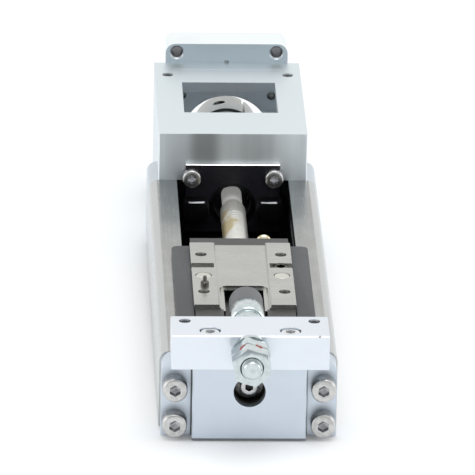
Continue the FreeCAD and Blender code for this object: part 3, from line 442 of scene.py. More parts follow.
def greased_steel(coords):
    bare = coords.axis("Y").between(BARE_START, BARE_END)
    in_bore = coords.slab("Y", LIT_START, LIT_END, LIT_SOFT)
    patches = coords.noise(160, 4.0, (1.0, 0.45, 1.0)).between(0.48, 0.62) * (1 - bare)
    fine = coords.noise(2500, 3.0, (1.0, 0.3, 1.0))
    steel = fine.between(0.3, 0.7).blend((0.84, 0.83, 0.77), (0.92, 0.91, 0.86))
    return {"Base_Color": patches.blend(steel, GREASE_COLOUR), "Metallic": 0.65 - patches * 0.2,
            "Roughness": 0.30 + (fine - 0.5) * 0.12 + patches * 0.1, "Coat_Weight": patches * 0.4,
            "Emission_Color": in_bore.blend((0.0, 0.0, 0.0), LIT_COLOUR), "Emission_Strength": 1.0}


zinc = (0.62, 0.685, 0.69), (0.52, 0.58, 0.59)
finishes["screw_steel"] = finish("screw_steel", plain_metal((0.62, 0.62, 0.605), (0.50, 0.495, 0.48), 0.30))
finishes["zinc_steel"] = finish("zinc_plated", plain_metal(*zinc, 0.18))
finishes["brass"] = finish("turned_brass", plain_metal((0.70, 0.64, 0.44), (0.52, 0.44, 0.27), 0.30))
finishes["bearing_steel"] = finish("greased_bearing_steel", greased_steel)
dark_pin = finish("dark_pin", plain_metal((0.16, 0.155, 0.145), (0.07, 0.066, 0.06), 0.25))
plug_steel = finish("plug_steel", plain_metal((0.66, 0.66, 0.60), (0.58, 0.58, 0.53), 0.34))
bright_screw = finish("bright_screw", plain_metal((0.80, 0.81, 0.82), (0.70, 0.71, 0.72), 0.24))
tapped_thread = finish("oily_thread", plain_metal((0.60, 0.60, 0.59), (0.40, 0.40, 0.39), 0.3, glow=0.02))
# The socket finishes paint shade into the hexagon sockets: near black for the end bolt, a darker steel for
# the rest.
dark_socket = finish("dark_socket", plain_metal((0.05, 0.05, 0.052), (0.03, 0.03, 0.031), 0.4))
steel_socket = finish("steel_socket", plain_metal((0.55, 0.55, 0.56), (0.38, 0.38, 0.39), 0.22))
print("small metals:", list(finishes)[-4:])

# %% [markdown]
# ## Black oxide, rubber and moulded plastic
# The bearing holder is blackened, the bumpers are rubber, and the carriage ends and side strips are
# moulded. None of them is a pure black: each has a faint grain and handling marks that catch the
# light at a low angle. The holder's upper edge is worn back to bare steel, which a mask by height does.

# %% Make the dark finishes
def dark_skin(colour, shade, rough, grain, bump, bare_above=None, shine=0.5):
    def paint(coords):
        skin = coords.noise(grain, 3.0)
        dust = coords.noise(220, 5.0).between(0.5, 0.75)
        base = (skin * 0.5 + dust * 0.5).blend(colour, shade)
        metallic = 0.0
        if bare_above:
            bare = coords.axis("Z").between(bare_above, bare_above + 0.4 * FEATHER)
            base, metallic = bare.blend(base, (0.9, 0.9, 0.9)), bare
        return {"Base_Color": base, "Metallic": metallic, "Normal": coords.bump(skin, bump),
                "Specular_IOR_Level": shine, "Roughness": rough + (skin - 0.5) * 0.2 + dust * 0.1}
    return paint


BLACK = (0.004, 0.004, 0.006)
HOLDER_EDGE = 0.24 * MM
DARK_LOOKS = {
    "black_oxide": ("black_oxide", BLACK, (0.012, 0.012, 0.015), 0.34, 4000, 0.00001),
    "rubber": ("black_rubber", (0.006, 0.006, 0.007), (0.020, 0.020, 0.022), 0.34, 1800, 0.00001),
    "dark_plastic": ("moulded_dark", (0.042, 0.041, 0.040), (0.08, 0.078, 0.075), 0.46, 1500, 0.00002),
    "grey_plastic": ("moulded_grey", (0.054, 0.057, 0.063), (0.083, 0.087, 0.094), 0.5, 1500, 0.00002),
}
for slot, (name, *look) in DARK_LOOKS.items():
    finishes[slot] = finish(name, dark_skin(*look))
holder_paint = dark_skin((0.022, 0.022, 0.028), (0.008, 0.008, 0.011), 0.22, 300, 0.000002,
                         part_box("bearing_holder")[1].z - HOLDER_EDGE, 0.15)
# The holder's bore is painted black: painted shade.
own_finish["bearing_holder"] = finish("worn_black_holder", holder_paint, [(rear_bore, BLACK)])
for name in ("front_bearing_outer", "front_bearing_inner", "rear_bearing_outer", "rear_bearing_inner"):
    own_finish[name] = finishes["black_oxide"]
own_finish["screw_end_washer"] = dark_pin
for name, piece in nodes.items():
    for holder in piece.material_slots:
        holder.material = own_finish.get(name, finishes[slot_of[name]])
print("all", len(finishes) + len(own_finish), "finishes are on the solids")

# %% [markdown]
# ## Turning a piece
# Most small pieces here are turned on a lathe. The same is done by hand with one disc: extrude it
# along the axis, scale the new end, and repeat for each step of the profile. Everything is built
# about the Y axis at the origin first, and its mesh is moved to its place afterwards.

# %% Lathe, cutting and placing tools
SMOOTH_ANGLE = math.radians(35)


def lathe(name, profile, segments=48):
    """Turns a profile of (place along Y, radius) steps, in millimetres, about the Y axis."""
    place, radius = profile[0]
    bpy.ops.object.select_all(action="DESELECT")
    bpy.ops.mesh.primitive_circle_add(vertices=segments, radius=radius * MM, fill_type="NGON",
                                      location=(0, place * MM, 0), rotation=(math.pi / 2, 0, 0))
    piece = bpy.context.object
    piece.name = name
    bpy.ops.object.transform_apply(location=True, rotation=True, scale=True)
    bpy.ops.object.mode_set(mode="EDIT")
    bpy.ops.mesh.select_all(action="SELECT")
    for new_place, new_radius in profile[1:]:
        step = (0, (new_place - place) * MM, 0)
        bpy.ops.mesh.extrude_region_move(TRANSFORM_OT_translate={"value": step})
        ratio = new_radius / radius
        bpy.ops.transform.resize(value=(ratio, 1, ratio), center_override=(0, new_place * MM, 0))
        place, radius = new_place, new_radius
    bpy.ops.mesh.select_all(action="SELECT")
    bpy.ops.mesh.normals_make_consistent(inside=False)
    bpy.ops.object.mode_set(mode="OBJECT")
    return piece


def pick(piece):
    """Makes a piece the active one and the only one selected."""
    bpy.ops.object.select_all(action="DESELECT")
    piece.select_set(True)
    bpy.context.view_layer.objects.active = piece


def apply_modifier(piece, kind, **settings):
    pick(piece)
    modifier = piece.modifiers.new(kind.lower(), kind)
    for key, value in settings.items():
        setattr(modifier, key, value)
    bpy.ops.object.modifier_apply(modifier=modifier.name)


def cut(piece, cutter, operation="DIFFERENCE"):
    apply_modifier(piece, "BOOLEAN", object=cutter, operation=operation, solver="EXACT")
    bpy.data.objects.remove(cutter)


def close_seams(gap):
    """Joins doubled vertices, fills open ends, turns the normals out, and leaves edit mode."""
    bpy.ops.mesh.select_all(action="SELECT")
    bpy.ops.mesh.remove_doubles(threshold=gap)
    bpy.ops.mesh.fill_holes(sides=0)
    bpy.ops.mesh.normals_make_consistent(inside=False)
    bpy.ops.object.mode_set(mode="OBJECT")


def fit(piece, body, slot, look=None, place=None):
    """Moves the mesh to its place, smooths it, and gives it its finish and its body."""
    if place is not None:
        piece.data.transform(place)
    pick(piece)
    bpy.ops.object.shade_smooth_by_angle(angle=SMOOTH_ANGLE)
    if not piece.data.materials:
        piece.data.materials.append(None)
    piece.data.materials[0] = look or finishes[slot]
    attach(piece, body)
    return piece


def copy_of(model, name):
    """A copy of a model, with a mesh of its own."""
    piece = model.copy()
    piece.data = model.data.copy()
    piece.name = name
    bpy.context.scene.collection.objects.link(piece)
    return piece


def copies(model, names, places, body, slot, stands_for, look=None):
    """Places one copy of a model for each name, and removes the model."""
    made = []
    for name, place in zip(names, places):
        piece = fit(copy_of(model, name), body, slot, look, place)
        made.append(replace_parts(piece, stands_for))
    bpy.data.objects.remove(model)
    return made


print("lathe ready")

# %% [markdown]
# ## Socket head cap screws
# Every joint of the base is held by cap screws: a cylinder with a broken edge and a hexagon socket.
# The body is turned, then a six-sided bar with a cone tip is cut out of the head with a Boolean. A
# line round the foot of the largest heads parts them from the spring washers under them.
# The places are read from the solids' boxes, so that each screw stays where the frame has it.

# %% Model the cap screws once for each set
# For each size, in millimetres: head diameter, head height, socket across flats, thread.
CAP_SIZES = {"m4": (M4_HEAD, 4.0, 3.0, 4.0), "m3": (5.4, 3.0, 2.5, 3.0), "m25": (4.4, 2.5, 2.0, 2.5),
             "end": (5.0, 2.5, 2.2, 2.5)}
TURN = {"+Y": Matrix.Identity(4), "-Y": Matrix.Rotation(math.pi, 4, "Z"),
        "-Z": Matrix.Rotation(-math.pi / 2, 4, "X"), "+Z": Matrix.Rotation(math.pi / 2, 4, "X")}


def hexagon_bar(across, start, end, tip=0.0):
    """A six-sided bar along Y with an optional cone tip, in millimetres."""
    bpy.ops.object.select_all(action="DESELECT")
    bpy.ops.mesh.primitive_cylinder_add(vertices=6, radius=across / 2 / math.cos(math.pi / 6) * MM,
                                        depth=(end - start) * MM, location=(0, (start + end) / 2 * MM, 0),
                                        rotation=(math.pi / 2, 0, 0))
    bar = bpy.context.object
    bpy.ops.object.transform_apply(location=True, rotation=True, scale=True)
    if tip:
        bpy.ops.object.mode_set(mode="EDIT")
        bpy.ops.mesh.select_all(action="DESELECT")
        shape = bmesh.from_edit_mesh(bar.data)
        max(shape.faces, key=lambda face: face.calc_center_median().y).select_set(True)
        bmesh.update_edit_mesh(bar.data)
        bpy.ops.mesh.extrude_region_move(TRANSFORM_OT_translate={"value": (0, tip * MM, 0)})
        bpy.ops.transform.resize(value=(0.05, 1, 0.05), center_override=(0, (end + tip) * MM, 0))
        bpy.ops.object.mode_set(mode="OBJECT")
    return bar


def cap_screw(size, length, socket=steel_socket):
    head, height, key, thread = CAP_SIZES[size]
    edge = head * 0.06
    shank = thread / 2 - 0.05
    line = [(-1.0, head / 2), (-1.0, head / 2 - 0.5), (-0.8, head / 2 - 0.5), (-0.8, head / 2 - 0.1)]
    screw = lathe("cap_screw", [
        (-height, head / 2 - edge * 1.4), (-height + edge * 0.2, head / 2 - edge * 0.75),
        (-height + edge * 0.55, head / 2 - edge * 0.3), (-height + edge * 1.2, head / 2),
        *(line if size == "m4" else []), (-0.15, head / 2 - 0.05), (0, head / 2 - 0.15), (0, shank),
        (length - 0.4, shank), (length, shank - 0.4)])
    cut(screw, hexagon_bar(key, -height - 1, -height * 0.45, 0.25 * key))
    # The socket's faces take the socket finish: painted shade inside the hexagon.
    screw.data.materials.append(None)
    screw.data.materials.append(socket)
    for face in screw.data.polygons:
        if face.center.xz.length < key * 0.6 * MM and -height + 0.02 < face.center.y / MM < 0:
            face.material_index = 1
    return screw


def screw_set(node, size, way, look=None, socket=steel_socket):
    """Replaces a node's plain screws by modelled ones that go in along the way given."""
    low, high = [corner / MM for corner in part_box(node)]
    head, height = CAP_SIZES[size][:2]
    depth = "XYZ".index(way[1])
    others = [axis for axis in range(3) if axis != depth]
    seat = low[depth] + height if way[0] == "+" else high[depth] - height
    spots = []
    for axis in others:
        ends = [low[axis] + head / 2, high[axis] - head / 2]
        spots.append(ends if ends[1] - ends[0] > 0.1 else [sum(ends) / 2])
    places = []
    for first in spots[0]:
        for second in spots[1]:
            spot = [0, 0, 0]
            spot[others[0]], spot[others[1]], spot[depth] = first, second, seat
            places.append(Matrix.Translation(Vector(spot) * MM) @ TURN[way])
    model = cap_screw(size, high[depth] - low[depth] - height, socket)
    names = [f"{node[:-1]}_{index + 1}" for index in range(len(places))]
    return copies(model, names, places, body_of[node], slot_of[node], node, look)


screws = []
for node, size, way in (("front_housing_screws", "m4", "+Y"), ("rear_housing_screws", "m4", "-Y"),
                        ("bearing_holder_screws", "m3", "+Y"), ("bracket_screws", "m3", "-Y"),
                        ("flange_screws", "m25", "-Y"), ("front_end_plate_screws", "m25", "+Y"),
                        ("rear_end_plate_screws", "m25", "-Y")):
    screws += screw_set(node, size, way)
screws += screw_set("stop_plate_screws", "m3", "-Z", bright_screw, bright_screw)
end_bolt = cap_screw("end", 0.8, dark_socket)
low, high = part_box("screw_end_bolt")
seat = Matrix.Translation(Vector((0, low.y + CAP_SIZES["end"][1] * MM, (low.z + high.z) / 2)))
screws += copies(end_bolt, ["end_bolt_of_the_screw"], [seat], "screw", "screw_steel", "screw_end_bolt")
print(len(screws), "cap screws")

# %% [markdown]
# ## The stop: bolt, bumper, washer and nuts
# The adjustable stop is a turned bolt with a round head and a rubber bumper. Two nuts lock it, with
# a spring washer behind them. A nut is a six-sided bar whose corners are cut away by a cone, so it is
# intersected with a turned barrel. The spring washer is a small rectangle spun almost all the way round.

# %% Turn the stop bolt and its bumper
low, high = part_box("stop_bolt")
stop_axis = (low.z + high.z) / 2
STOP = Matrix.Translation((0, 0, stop_axis))
tip, head_end = low.y / MM, high.y / MM
collar, shoulder = head_end - 8.0, head_end - 15.0
bolt = lathe("turned_stop_bolt", [
    (tip, 2.2), (tip + 0.12, 2.35), (tip + 0.4, 2.5), (tip + 4.6, 2.5), (tip + 4.6, 2.95), (shoulder, 2.95),
    (shoulder, 4.0), (collar - 0.35, 4.0), (collar - 0.1, 4.1), (collar, 4.35), (collar, 4.5),
    (collar + 0.25, 4.85), (collar + 0.6, 5.0), (head_end - 0.7, 5.0), (head_end - 0.3, 4.8),
    (head_end, 4.4)], 64)
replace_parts(fit(bolt, "base", "zinc_steel", place=STOP), "stop_bolt")
low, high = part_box("stop_bumper")
start, end = low.y / MM, high.y / MM
bumper = lathe("stop_rubber_bumper", [
    (start, 4.5), (start + 0.3, 4.8), (end - 0.6, 4.8), (end - 0.25, 4.7), (end - 0.06, 4.45), (end, 4.1),
    (end, 1.2), (end - 0.4, 0.9)], 64)
grey_rubber = finish("grey_rubber", dark_skin((0.10, 0.105, 0.112), (0.15, 0.155, 0.165), 0.5, 1800, 0.00001))
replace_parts(fit(bumper, "base", "rubber", grey_rubber, STOP), "stop_bumper")
print("stop bolt from", round(tip, 2), "to", round(end, 2), "mm")

# %% [markdown]
# The nuts carry a dab of red paint across their seam, as fitters do to show that a setting hasn't
# moved. It is drawn in the nuts' own material, from their coordinates, with a ragged edge.

# %% Cut the two lock nuts
NUT_ACROSS, NUT_TURN = 10.0, math.radians(-13.0)
DABS, DAB_SOFT, DAB_RAGGED = ((-3.2 * MM, -2.0 * MM), (1.2 * MM, 2.9 * MM)), 0.3 * MM, 1.6 * MM
RED = (0.31, 0.05, 0.045)


def marked_zinc(coords):
    spots = coords.noise(700, 4.0)
    ragged = (coords.noise(900, 4.0) - 0.5) * DAB_RAGGED
    across = coords.axis("X") + ragged
    near_seam = 1 - (coords.axis("Y") - seam + ragged * 2).maths("ABSOLUTE").between(0.7 * MM, 1.1 * MM)
    left, right = (across.between(start - DAB_SOFT, start) * (1 - across.between(end, end + DAB_SOFT))
                   for start, end in DABS)
    top = coords.axis("Z").between(stop_axis + 1.5 * MM, stop_axis + 2.0 * MM)
    red = near_seam * top * (left + right).maths("MINIMUM", 1.0)
    return {"Base_Color": red.blend(spots.between(0.35, 0.7).blend(*zinc), RED),
            "Metallic": 1 - red, "Roughness": 0.18 + (spots - 0.5) * 0.2 + red * 0.25}


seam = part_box("lock_nut_inner")[0].y
marked = finish("zinc_with_paint_marks", marked_zinc)
for node in ("lock_nut_inner", "lock_nut_outer"):
    low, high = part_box(node)
    start, end = low.y / MM, high.y / MM
    nut = hexagon_bar(NUT_ACROSS, start, end)
    nut.name = f"chamfered_{node}"
    barrel = lathe("barrel", [(start - 0.01, NUT_ACROSS * 0.47), (start + 0.55, NUT_ACROSS * 0.585),
                              (end - 0.55, NUT_ACROSS * 0.585), (end + 0.01, NUT_ACROSS * 0.47)], 96)
    cut(nut, barrel, "INTERSECT")
    cut(nut, lathe("bore", [(start - 1, 3.9), (start, 3.35), (start + 0.45, 3.0), (end - 0.45, 3.0),
                            (end, 3.35), (end + 1, 3.9)], 64))
    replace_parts(fit(nut, "base", "zinc_steel", marked, STOP @ Matrix.Rotation(NUT_TURN, 4, "Y")), node)
print("nuts meet at", round(seam / MM, 2), "mm")

# %% Spin the spring washer
WASHER_RADIUS, WASHER_WIDTH, WASHER_SWEEP, WASHER_TURN = 4.25 * MM, 2.4 * MM, math.radians(350), 2.4
low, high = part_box("lock_washer")
width = high.y - low.y
bpy.ops.object.select_all(action="DESELECT")
bpy.ops.mesh.primitive_plane_add(size=1)
washer = bpy.context.object
washer.name = "split_spring_washer"
washer.data.transform(Matrix.Translation((WASHER_RADIUS, (low.y + high.y) / 2, 0))
                      @ Matrix.Diagonal((WASHER_WIDTH, width * 0.98, 1, 1)))
bpy.ops.object.mode_set(mode="EDIT")
bpy.ops.mesh.select_all(action="SELECT")
bpy.ops.mesh.spin(steps=60, angle=WASHER_SWEEP, center=(0, 0, 0), axis=(0, 1, 0))
close_seams(1e-7)
split = STOP @ Matrix.Rotation(WASHER_TURN, 4, "Y")
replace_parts(fit(washer, "base", "zinc_steel", place=split), "lock_washer")
print("washer with", len(washer.data.polygons), "faces")

# %% [markdown]
# ## Rubber end bumpers
# Two rubber discs at the motor end soften the carriage's last millimetre. They are turned like the
# stop's bumper, once, and copied to both sides of the screw.

# %% Turn the end bumpers
HIGHLIGHT_START, HIGHLIGHT_END, HIGHLIGHT_DEPTH, HIGHLIGHT_SOFT = 8.6 * MM, 12.8 * MM, 1.0 * MM, 0.4 * MM
low, high = [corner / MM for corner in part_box("end_bumpers")]
radius, length = axis_height / MM - low.z, high.y - low.y
flat = high.z * MM - axis_height


def painted_highlight_edge(coords, front=low.y * MM + HIGHLIGHT_DEPTH, top=high.z * MM):
    """1 along the front edge of a bumper's flat: a painted highlight, a pale line where the edge catches the
    light.
    """
    lit_span = coords.vector("ABSOLUTE").slab("X", HIGHLIGHT_START, HIGHLIGHT_END, HIGHLIGHT_SOFT)
    on_top = coords.axis("Z").between(top - FEATHER * 1.2, top - FEATHER * 0.6)
    return lit_span * on_top * (1 - coords.axis("Y").between(front, front + HIGHLIGHT_SOFT))


disc = lathe("end_disc", [(0, radius - 0.9), (0.25, radius - 0.3), (0.8, radius), (length, radius)], 56)
bpy.ops.object.mode_set(mode="EDIT")
bpy.ops.mesh.select_all(action="SELECT")
bpy.ops.mesh.bisect(plane_co=(0, 0, flat), plane_no=(0, 0, 1), use_fill=True, clear_outer=True)
bpy.ops.object.mode_set(mode="OBJECT")
spots = [Matrix.Translation(Vector((x, low.y, axis_height / MM)) * MM)
         for x in (low.x + radius, high.x - radius)]
# The bumpers' black rubber carries a painted highlight along the front edge of each flat.
end_rubber_paint = dark_skin((0.0025, 0.0025, 0.003), (0.006, 0.006, 0.007), 0.6, 1800, 0.00001, shine=0.1)
highlit_rubber = finish("scuffed_rubber", end_rubber_paint, marks=[(painted_highlight_edge, (0.72, 0.73, 0.77))])
copies(disc, ["end_bumper_left", "end_bumper_right"], spots, "base", "rubber", "end_bumpers", highlit_rubber)
print("end bumpers of", round(2 * radius, 2), "mm")

# %% [markdown]
# ## The ball screw
# The screw has a rounded groove that winds along it with a lead of two millimetres. One turn of the
# groove's profile is drawn as a short chain of vertices and swept by the Screw modifier, which
# repeats it along the axis. A turned core closes both ends and carries the journals and a thin neck.

# %% Sweep the groove
LEAD, PLAIN_JOURNAL, RUN_IN, NECK = 2.0, 11.0, 1.0, 5.0
low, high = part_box("ball_screw")
AXIS = Matrix.Translation((0, 0, axis_height))
nose, tail = low.y / MM, high.y / MM
holder_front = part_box("bearing_holder")[0].y / MM
thread_start, thread_end = nose + 11.0, holder_front + 0.8


def swept_profile(name, points, lead, turns, steps):
    """Sweeps a chain of (radius, place) points, in millimetres, round and along the Y axis."""
    bpy.ops.object.select_all(action="DESELECT")
    bpy.ops.mesh.primitive_plane_add(size=1)
    piece = bpy.context.object
    piece.name = name
    bpy.ops.object.mode_set(mode="EDIT")
    bpy.ops.mesh.select_all(action="SELECT")
    bpy.ops.mesh.merge(type="CENTER")
    bpy.ops.transform.translate(value=(points[0][0] * MM, points[0][1] * MM, 0))
    for (radius, place), (new_radius, new_place) in zip(points, points[1:]):
        step = ((new_radius - radius) * MM, (new_place - place) * MM, 0)
        bpy.ops.mesh.extrude_region_move(TRANSFORM_OT_translate={"value": step})
    bpy.ops.object.mode_set(mode="OBJECT")
    apply_modifier(piece, "SCREW", axis="Y", angle=2 * math.pi, screw_offset=lead * MM, iterations=turns,
                   steps=steps, render_steps=steps, use_merge_vertices=True, merge_threshold=1e-7)
    bpy.ops.object.mode_set(mode="EDIT")
    close_seams(1e-6)
    return piece


groove = [(3.80, 0.0), (3.80, 0.5), (3.74, 0.65), (3.69, 0.85), (3.675, 1.0), (3.69, 1.15), (3.74, 1.35),
          (3.80, 1.5), (3.80, 2.0)]
STOP_PITCH = 1.0
stop_tooth = [(2.44, 0.0), (2.92, 0.36), (2.92, 0.5), (2.44, 0.86), (2.44, STOP_PITCH)]
stop_thread = swept_profile("stop_bolt_thread", stop_tooth, STOP_PITCH, 4, 32)
start = Matrix.Translation((0, (tip + 0.25) * MM, stop_axis))
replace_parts(fit(stop_thread, "base", "zinc_steel", place=start), "stop_bolt")
turns = int((thread_end - thread_start - 3.0 - PLAIN_JOURNAL) / LEAD)
thread = swept_profile("grooved_screw_thread", groove, LEAD, turns, 28)
start = Matrix.Translation((0, (thread_start + RUN_IN) * MM, axis_height))
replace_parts(fit(thread, "screw", "bearing_steel", place=start), "ball_screw")
print("groove of", turns, "turns,", len(thread.data.polygons), "faces")

# %% Turn the core with its journals
run_out = thread_start + RUN_IN + (turns + 1) * LEAD
journal_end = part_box("bearing_lock_ring")[1].y / MM
neck = holder_front - NECK
core = lathe("screw_core_and_journals", [
    (nose, 2.7), (nose + 0.3, 3.0), (thread_start, 3.0), (thread_start + 0.4, 3.7),
    (thread_start + 0.8, 3.78), (thread_start + 3.2, 3.78), (thread_start + 3.2, 3.2), (run_out - 2.2, 3.2),
    (run_out - 2.2, 3.78), (neck - 0.8, 3.78), (neck, 3.0), (journal_end, 3.0), (journal_end + 0.3, 2.5),
    (tail - 0.3, 2.5), (tail, 2.2)])
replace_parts(fit(core, "screw", "bearing_steel", place=AXIS), "ball_screw")
print("screw from", round(nose, 2), "to", round(tail, 2), "mm")

# %% [markdown]
# ## Fittings on the carriage
# The grease nipple, the locating pin and the set screw are small, but the eye finds them: brass
# with a ball head, a stepped pin, and a dark screw with a hexagon socket. Two plugs that close the
# ball runs lie flush in the pads.

# %% Turn the nipple, the pin, the set screw and the plugs
low, high = [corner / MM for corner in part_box("grease_nipple")]
start, end = low.y, high.y
nipple = lathe("grease_nipple_body", [
    (start, 1.6), (start + 1.2, 1.6), (start + 2.0, 2.0), (start + 2.2, 2.3), (start + 3.8, 2.3),
    (start + 4.2, 1.7), (start + 4.8, 1.55), (start + 5.1, 1.9), (start + 5.6, 2.22), (start + 6.2, 2.15),
    (start + 6.8, 1.65), (end, 0.8), (end - 0.3, 0.5)], 40)
spot = Vector(((low.x + high.x) / 2, 0, (low.z + high.z) / 2)) * MM
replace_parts(fit(nipple, "carriage", "brass", place=Matrix.Translation(spot)), "grease_nipple")
low, high = [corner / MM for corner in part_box("locating_pin")]
foot = low.z + 2.0
rise = high.z - foot
pin = lathe("stepped_locating_pin", [
    (-2.0, 1.2), (1.0, 1.2), (1.2, 1.0), (1.2, 0.7), (1.35, 0.6), (rise - 0.5, 0.6), (rise - 0.15, 0.45),
    (rise, 0.2)], 32)
spot = Vector(((low.x + high.x) / 2, (low.y + high.y) / 2, foot)) * MM
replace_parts(fit(pin, "carriage", slot_of["locating_pin"], dark_pin, Matrix.Translation(spot) @ TURN["+Z"]),
            "locating_pin")
low, high = [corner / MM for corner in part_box("set_screw")]
height, radius = high.z - low.z, (high.x - low.x) / 2
grub = lathe("socket_set_screw", [(0, radius - 0.1), (height - 0.3, radius - 0.1),
                                  (height, radius - 0.45)], 40)
cut(grub, hexagon_bar(2.5, height * 0.3, height + 1))
spot = Vector(((low.x + high.x) / 2, (low.y + high.y) / 2, low.z)) * MM
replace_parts(fit(grub, "carriage", "black_oxide", dark_pin, Matrix.Translation(spot) @ TURN["+Z"]),
            "set_screw")
low, high = [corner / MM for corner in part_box("ball_plugs")]
height, radius = high.z - low.z, (high.y - low.y) / 2
plug = lathe("ball_plug", [(0, radius - 0.15), (height - 0.17, radius - 0.15),
                           (height - 0.02, radius - 0.3)], 48)
spots = [Matrix.Translation(Vector((x, (low.y + high.y) / 2, low.z)) * MM) @ TURN["+Z"]
         for x in (low.x + radius, high.x - radius)]
copies(plug, ["ball_plug_left", "ball_plug_right"], spots, "carriage", slot_of["ball_plugs"], "ball_plugs",
       plug_steel)
print("nipple, pin, set screw and plugs fitted")

# %% [markdown]
# ## Side strips
# A moulded strip on each side of the block wipes the rail's top and runs on under the stop plate. It is
# a bar with two rounded outer corners: a cube is stretched, its two outer upright edges are bevelled
# first, and then the rim of its top. The second strip is the same piece turned half round.

# %% Bevel one strip and place two
STRIP_REACH, STRIP_CORNER, STRIP_RIM = 4.5 * MM, 2.0 * MM, 0.15 * MM


def bevel_edges(piece, chosen, offset, segments):
    """Bevels the edges of a mesh that the test picks by their two ends."""
    bpy.ops.object.mode_set(mode="EDIT")
    bpy.ops.mesh.select_mode(type="EDGE")
    bpy.ops.mesh.select_all(action="DESELECT")
    shape = bmesh.from_edit_mesh(piece.data)
    for edge in shape.edges:
        edge.select_set(chosen(*(corner.co for corner in edge.verts)))
    bmesh.update_edit_mesh(piece.data)
    bpy.ops.mesh.bevel(offset=offset, segments=segments, affect="EDGES")
    bpy.ops.mesh.select_mode(type="VERT")
    bpy.ops.object.mode_set(mode="OBJECT")


low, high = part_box("side_seal_left")
low = low - Vector((0, STRIP_REACH, 0))
size, middle = high - low, (low + high) / 2
bpy.ops.object.select_all(action="DESELECT")
bpy.ops.mesh.primitive_cube_add(size=1)
strip = bpy.context.object
strip.data.transform(Matrix.Diagonal((*size, 1)))
bevel_edges(strip, lambda a, b: a.x < 0 and b.x < 0 and abs(a.z - b.z) > size.z / 2, STRIP_CORNER, 8)
bevel_edges(strip, lambda a, b: min(a.z, b.z) > size.z * 0.49, STRIP_RIM, 2)
for node, side, turn in (("side_seal_left", 1, 0.0), ("side_seal_right", -1, math.pi)):
    spot = Matrix.Translation((side * middle.x, middle.y, middle.z)) @ Matrix.Rotation(turn, 4, "Z")
    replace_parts(fit(copy_of(strip, f"moulded_{node}"), "carriage", slot_of[node], place=spot), node)
bpy.data.objects.remove(strip)
print("strips of", round(size.y / MM, 2), "mm")

# %% [markdown]
# ## Threads in the tapped holes
# The table holes and the cover holes are tapped. A thread in a hole is a small ridge wound up round
# its wall, which the same sweep makes. One is modelled and copied into each hole.

# %% Wind the threads
PITCH, THREAD_DEPTH = 0.7, 6.6
TAPPED = (("table_bolts", "carriage", "block_steel"), ("front_cover_holes", "base", "bracket_aluminium"),
          ("rear_cover_holes", "base", "bracket_aluminium"))


def hole_places(name):
    """The middles of a bolt pattern's holes at their face."""
    mount = mounts[name]
    across = mount["dims"]["spacing_x_mm"] / 2
    along = mount["dims"].get("spacing_y_mm", 0) / 2
    middle = Vector(mount["pos_m"])
    return [middle + Vector((sx * across, sy * along, 0)) * MM
            for sx in (-1, 1) for sy in ((-1, 1) if along else (0,))]


tooth = swept_profile("hole_thread", [(1.66, 0.0), (1.44, 0.3), (1.44, 0.4), (1.66, PITCH)], PITCH, 8, 20)
for name, body, slot in TAPPED:
    for index, spot in enumerate(hole_places(name)):
        deep = Matrix.Translation(spot - Vector((0, 0, THREAD_DEPTH * MM))) @ TURN["+Z"]
        fit(copy_of(tooth, f"thread_{name}_{index + 1}"), body, slot, tapped_thread, deep)
bpy.data.objects.remove(tooth)
print("threads wound")

# %% [markdown]
# ## Floor, light and camera
# The product stands on a white table in soft light from above. The motor flange reaches 3.5 mm below
# the rail, so the part leans a little on its two lowest edges, and the floor is laid under them.
# The world is white to the camera and in reflections, and gives a calmer fill light.

# %% Lay the floor
def stage_plane(name, place, turn, look, scale, colours, **more):
    """A wide matt plane that belongs to the stage and not to the part."""
    bpy.ops.object.select_all(action="DESELECT")
    bpy.ops.mesh.primitive_plane_add(size=6, location=place, rotation=(turn, 0, 0))
    plane = bpy.context.object
    plane.name = name
    material, shader, coords = new_finish(look)
    wear(shader, Base_Color=coords.noise(scale, 2.0).blend(*colours), Roughness=0.9,
         Specular_IOR_Level=0.0, **more)
    plane.data.materials.append(material)


flange_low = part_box("motor_flange")[0]
lean = math.atan2(flange_low.z - rail_low.z, flange_low.y - rail_low.y)
stage_plane("floor", (0, rail_low.y, rail_low.z - FEATHER), lean, "pale_floor", 3,
            ((0.90, 0.915, 0.93), (0.93, 0.94, 0.95)),
            Emission_Color=(0.08, 0.08, 0.08, 1.0), Emission_Strength=1.0)
print("floor leans", round(math.degrees(lean), 2), "degrees")

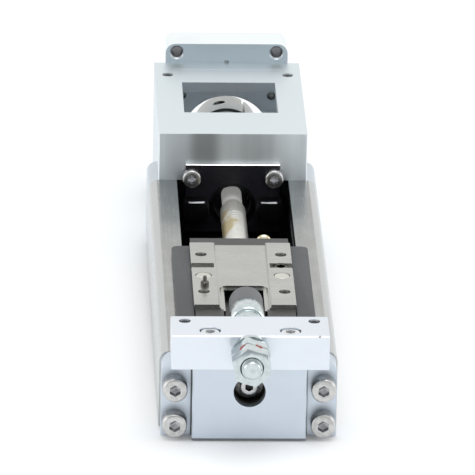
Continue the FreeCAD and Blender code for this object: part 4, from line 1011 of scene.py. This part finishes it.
# %% Set the world and the lamps
scene = bpy.context.scene
scene.view_settings.view_transform = "Standard"
world = scene.world or bpy.data.worlds.new("studio")
scene.world = world
world.use_nodes = True
tree = world.node_tree
paths = tree.nodes.new("ShaderNodeLightPath")
seen = (Wire(paths.outputs["Is Camera Ray"]) + Wire(paths.outputs["Is Glossy Ray"])
        + Wire(paths.outputs["Is Transmission Ray"])).maths("MINIMUM", 1.0)
FILL = 0.7
sky = tree.nodes["Background"]
sky.inputs["Color"].default_value = (1.0, 1.0, 1.0, 1.0)
tree.links.new((seen * (1.0 - FILL) + FILL).socket, sky.inputs["Strength"])


def soft_box(name, place, target, size, power):
    bpy.ops.object.select_all(action="DESELECT")
    bpy.ops.object.light_add(type="AREA", location=place)
    lamp = bpy.context.object
    lamp.name = name
    lamp.data.shape = "RECTANGLE"
    lamp.data.size, lamp.data.size_y = size
    lamp.data.energy = power
    lamp.rotation_euler = (Vector(target) - Vector(place)).to_track_quat("-Z", "Y").to_euler()


MIDDLE = (0, 0.02, 0)
soft_box("overhead_soft_box", (0.08, -0.1, 1.3), MIDDLE, (1.0, 0.8), 6.4)
for name, x in (("left_soft_box", -1.3), ("right_soft_box", 1.3)):
    soft_box(name, (x, 0.0, 0.45), MIDDLE, (1.2, 0.7), 3.5)
stage_plane("grey_card_behind_the_camera", (0, -3.4, 1.6), math.pi / 2, "grey_card", 2,
            ((0.70, 0.72, 0.75), (0.74, 0.76, 0.79)))
print("lights set")

# %% [markdown]
# The camera stands far away with a very long lens, as found from the photograph: the rail's edges
# hardly converge. Its turn is built from the three directions of its own axes.

# %% Aim the camera
TARGET = Vector((0.679, 41.75, 14.896)) * MM
DISTANCE, FOCAL_PIXELS, IMAGE_PIXELS, SENSOR = 2.355, 8027.1, 475, 36.0
azimuth, elevation, roll = [math.radians(angle) for angle in (-2.249, 20.427, 1.05)]
back = Vector((math.sin(azimuth) * math.cos(elevation), -math.cos(azimuth) * math.cos(elevation),
               math.sin(elevation)))
right = Vector((math.cos(azimuth), math.sin(azimuth), 0))
up = back.cross(right)
right, up = (math.cos(roll) * right + math.sin(roll) * up, -math.sin(roll) * right + math.cos(roll) * up)
bpy.ops.object.camera_add(location=TARGET + back * DISTANCE)
camera = bpy.context.object
camera.rotation_euler = Matrix((right, up, back)).transposed().to_euler()
camera.data.sensor_width = SENSOR
camera.data.lens = FOCAL_PIXELS / IMAGE_PIXELS * SENSOR
camera.data.clip_end = 50
scene.camera = camera
print("camera lens", round(camera.data.lens, 1), "mm")
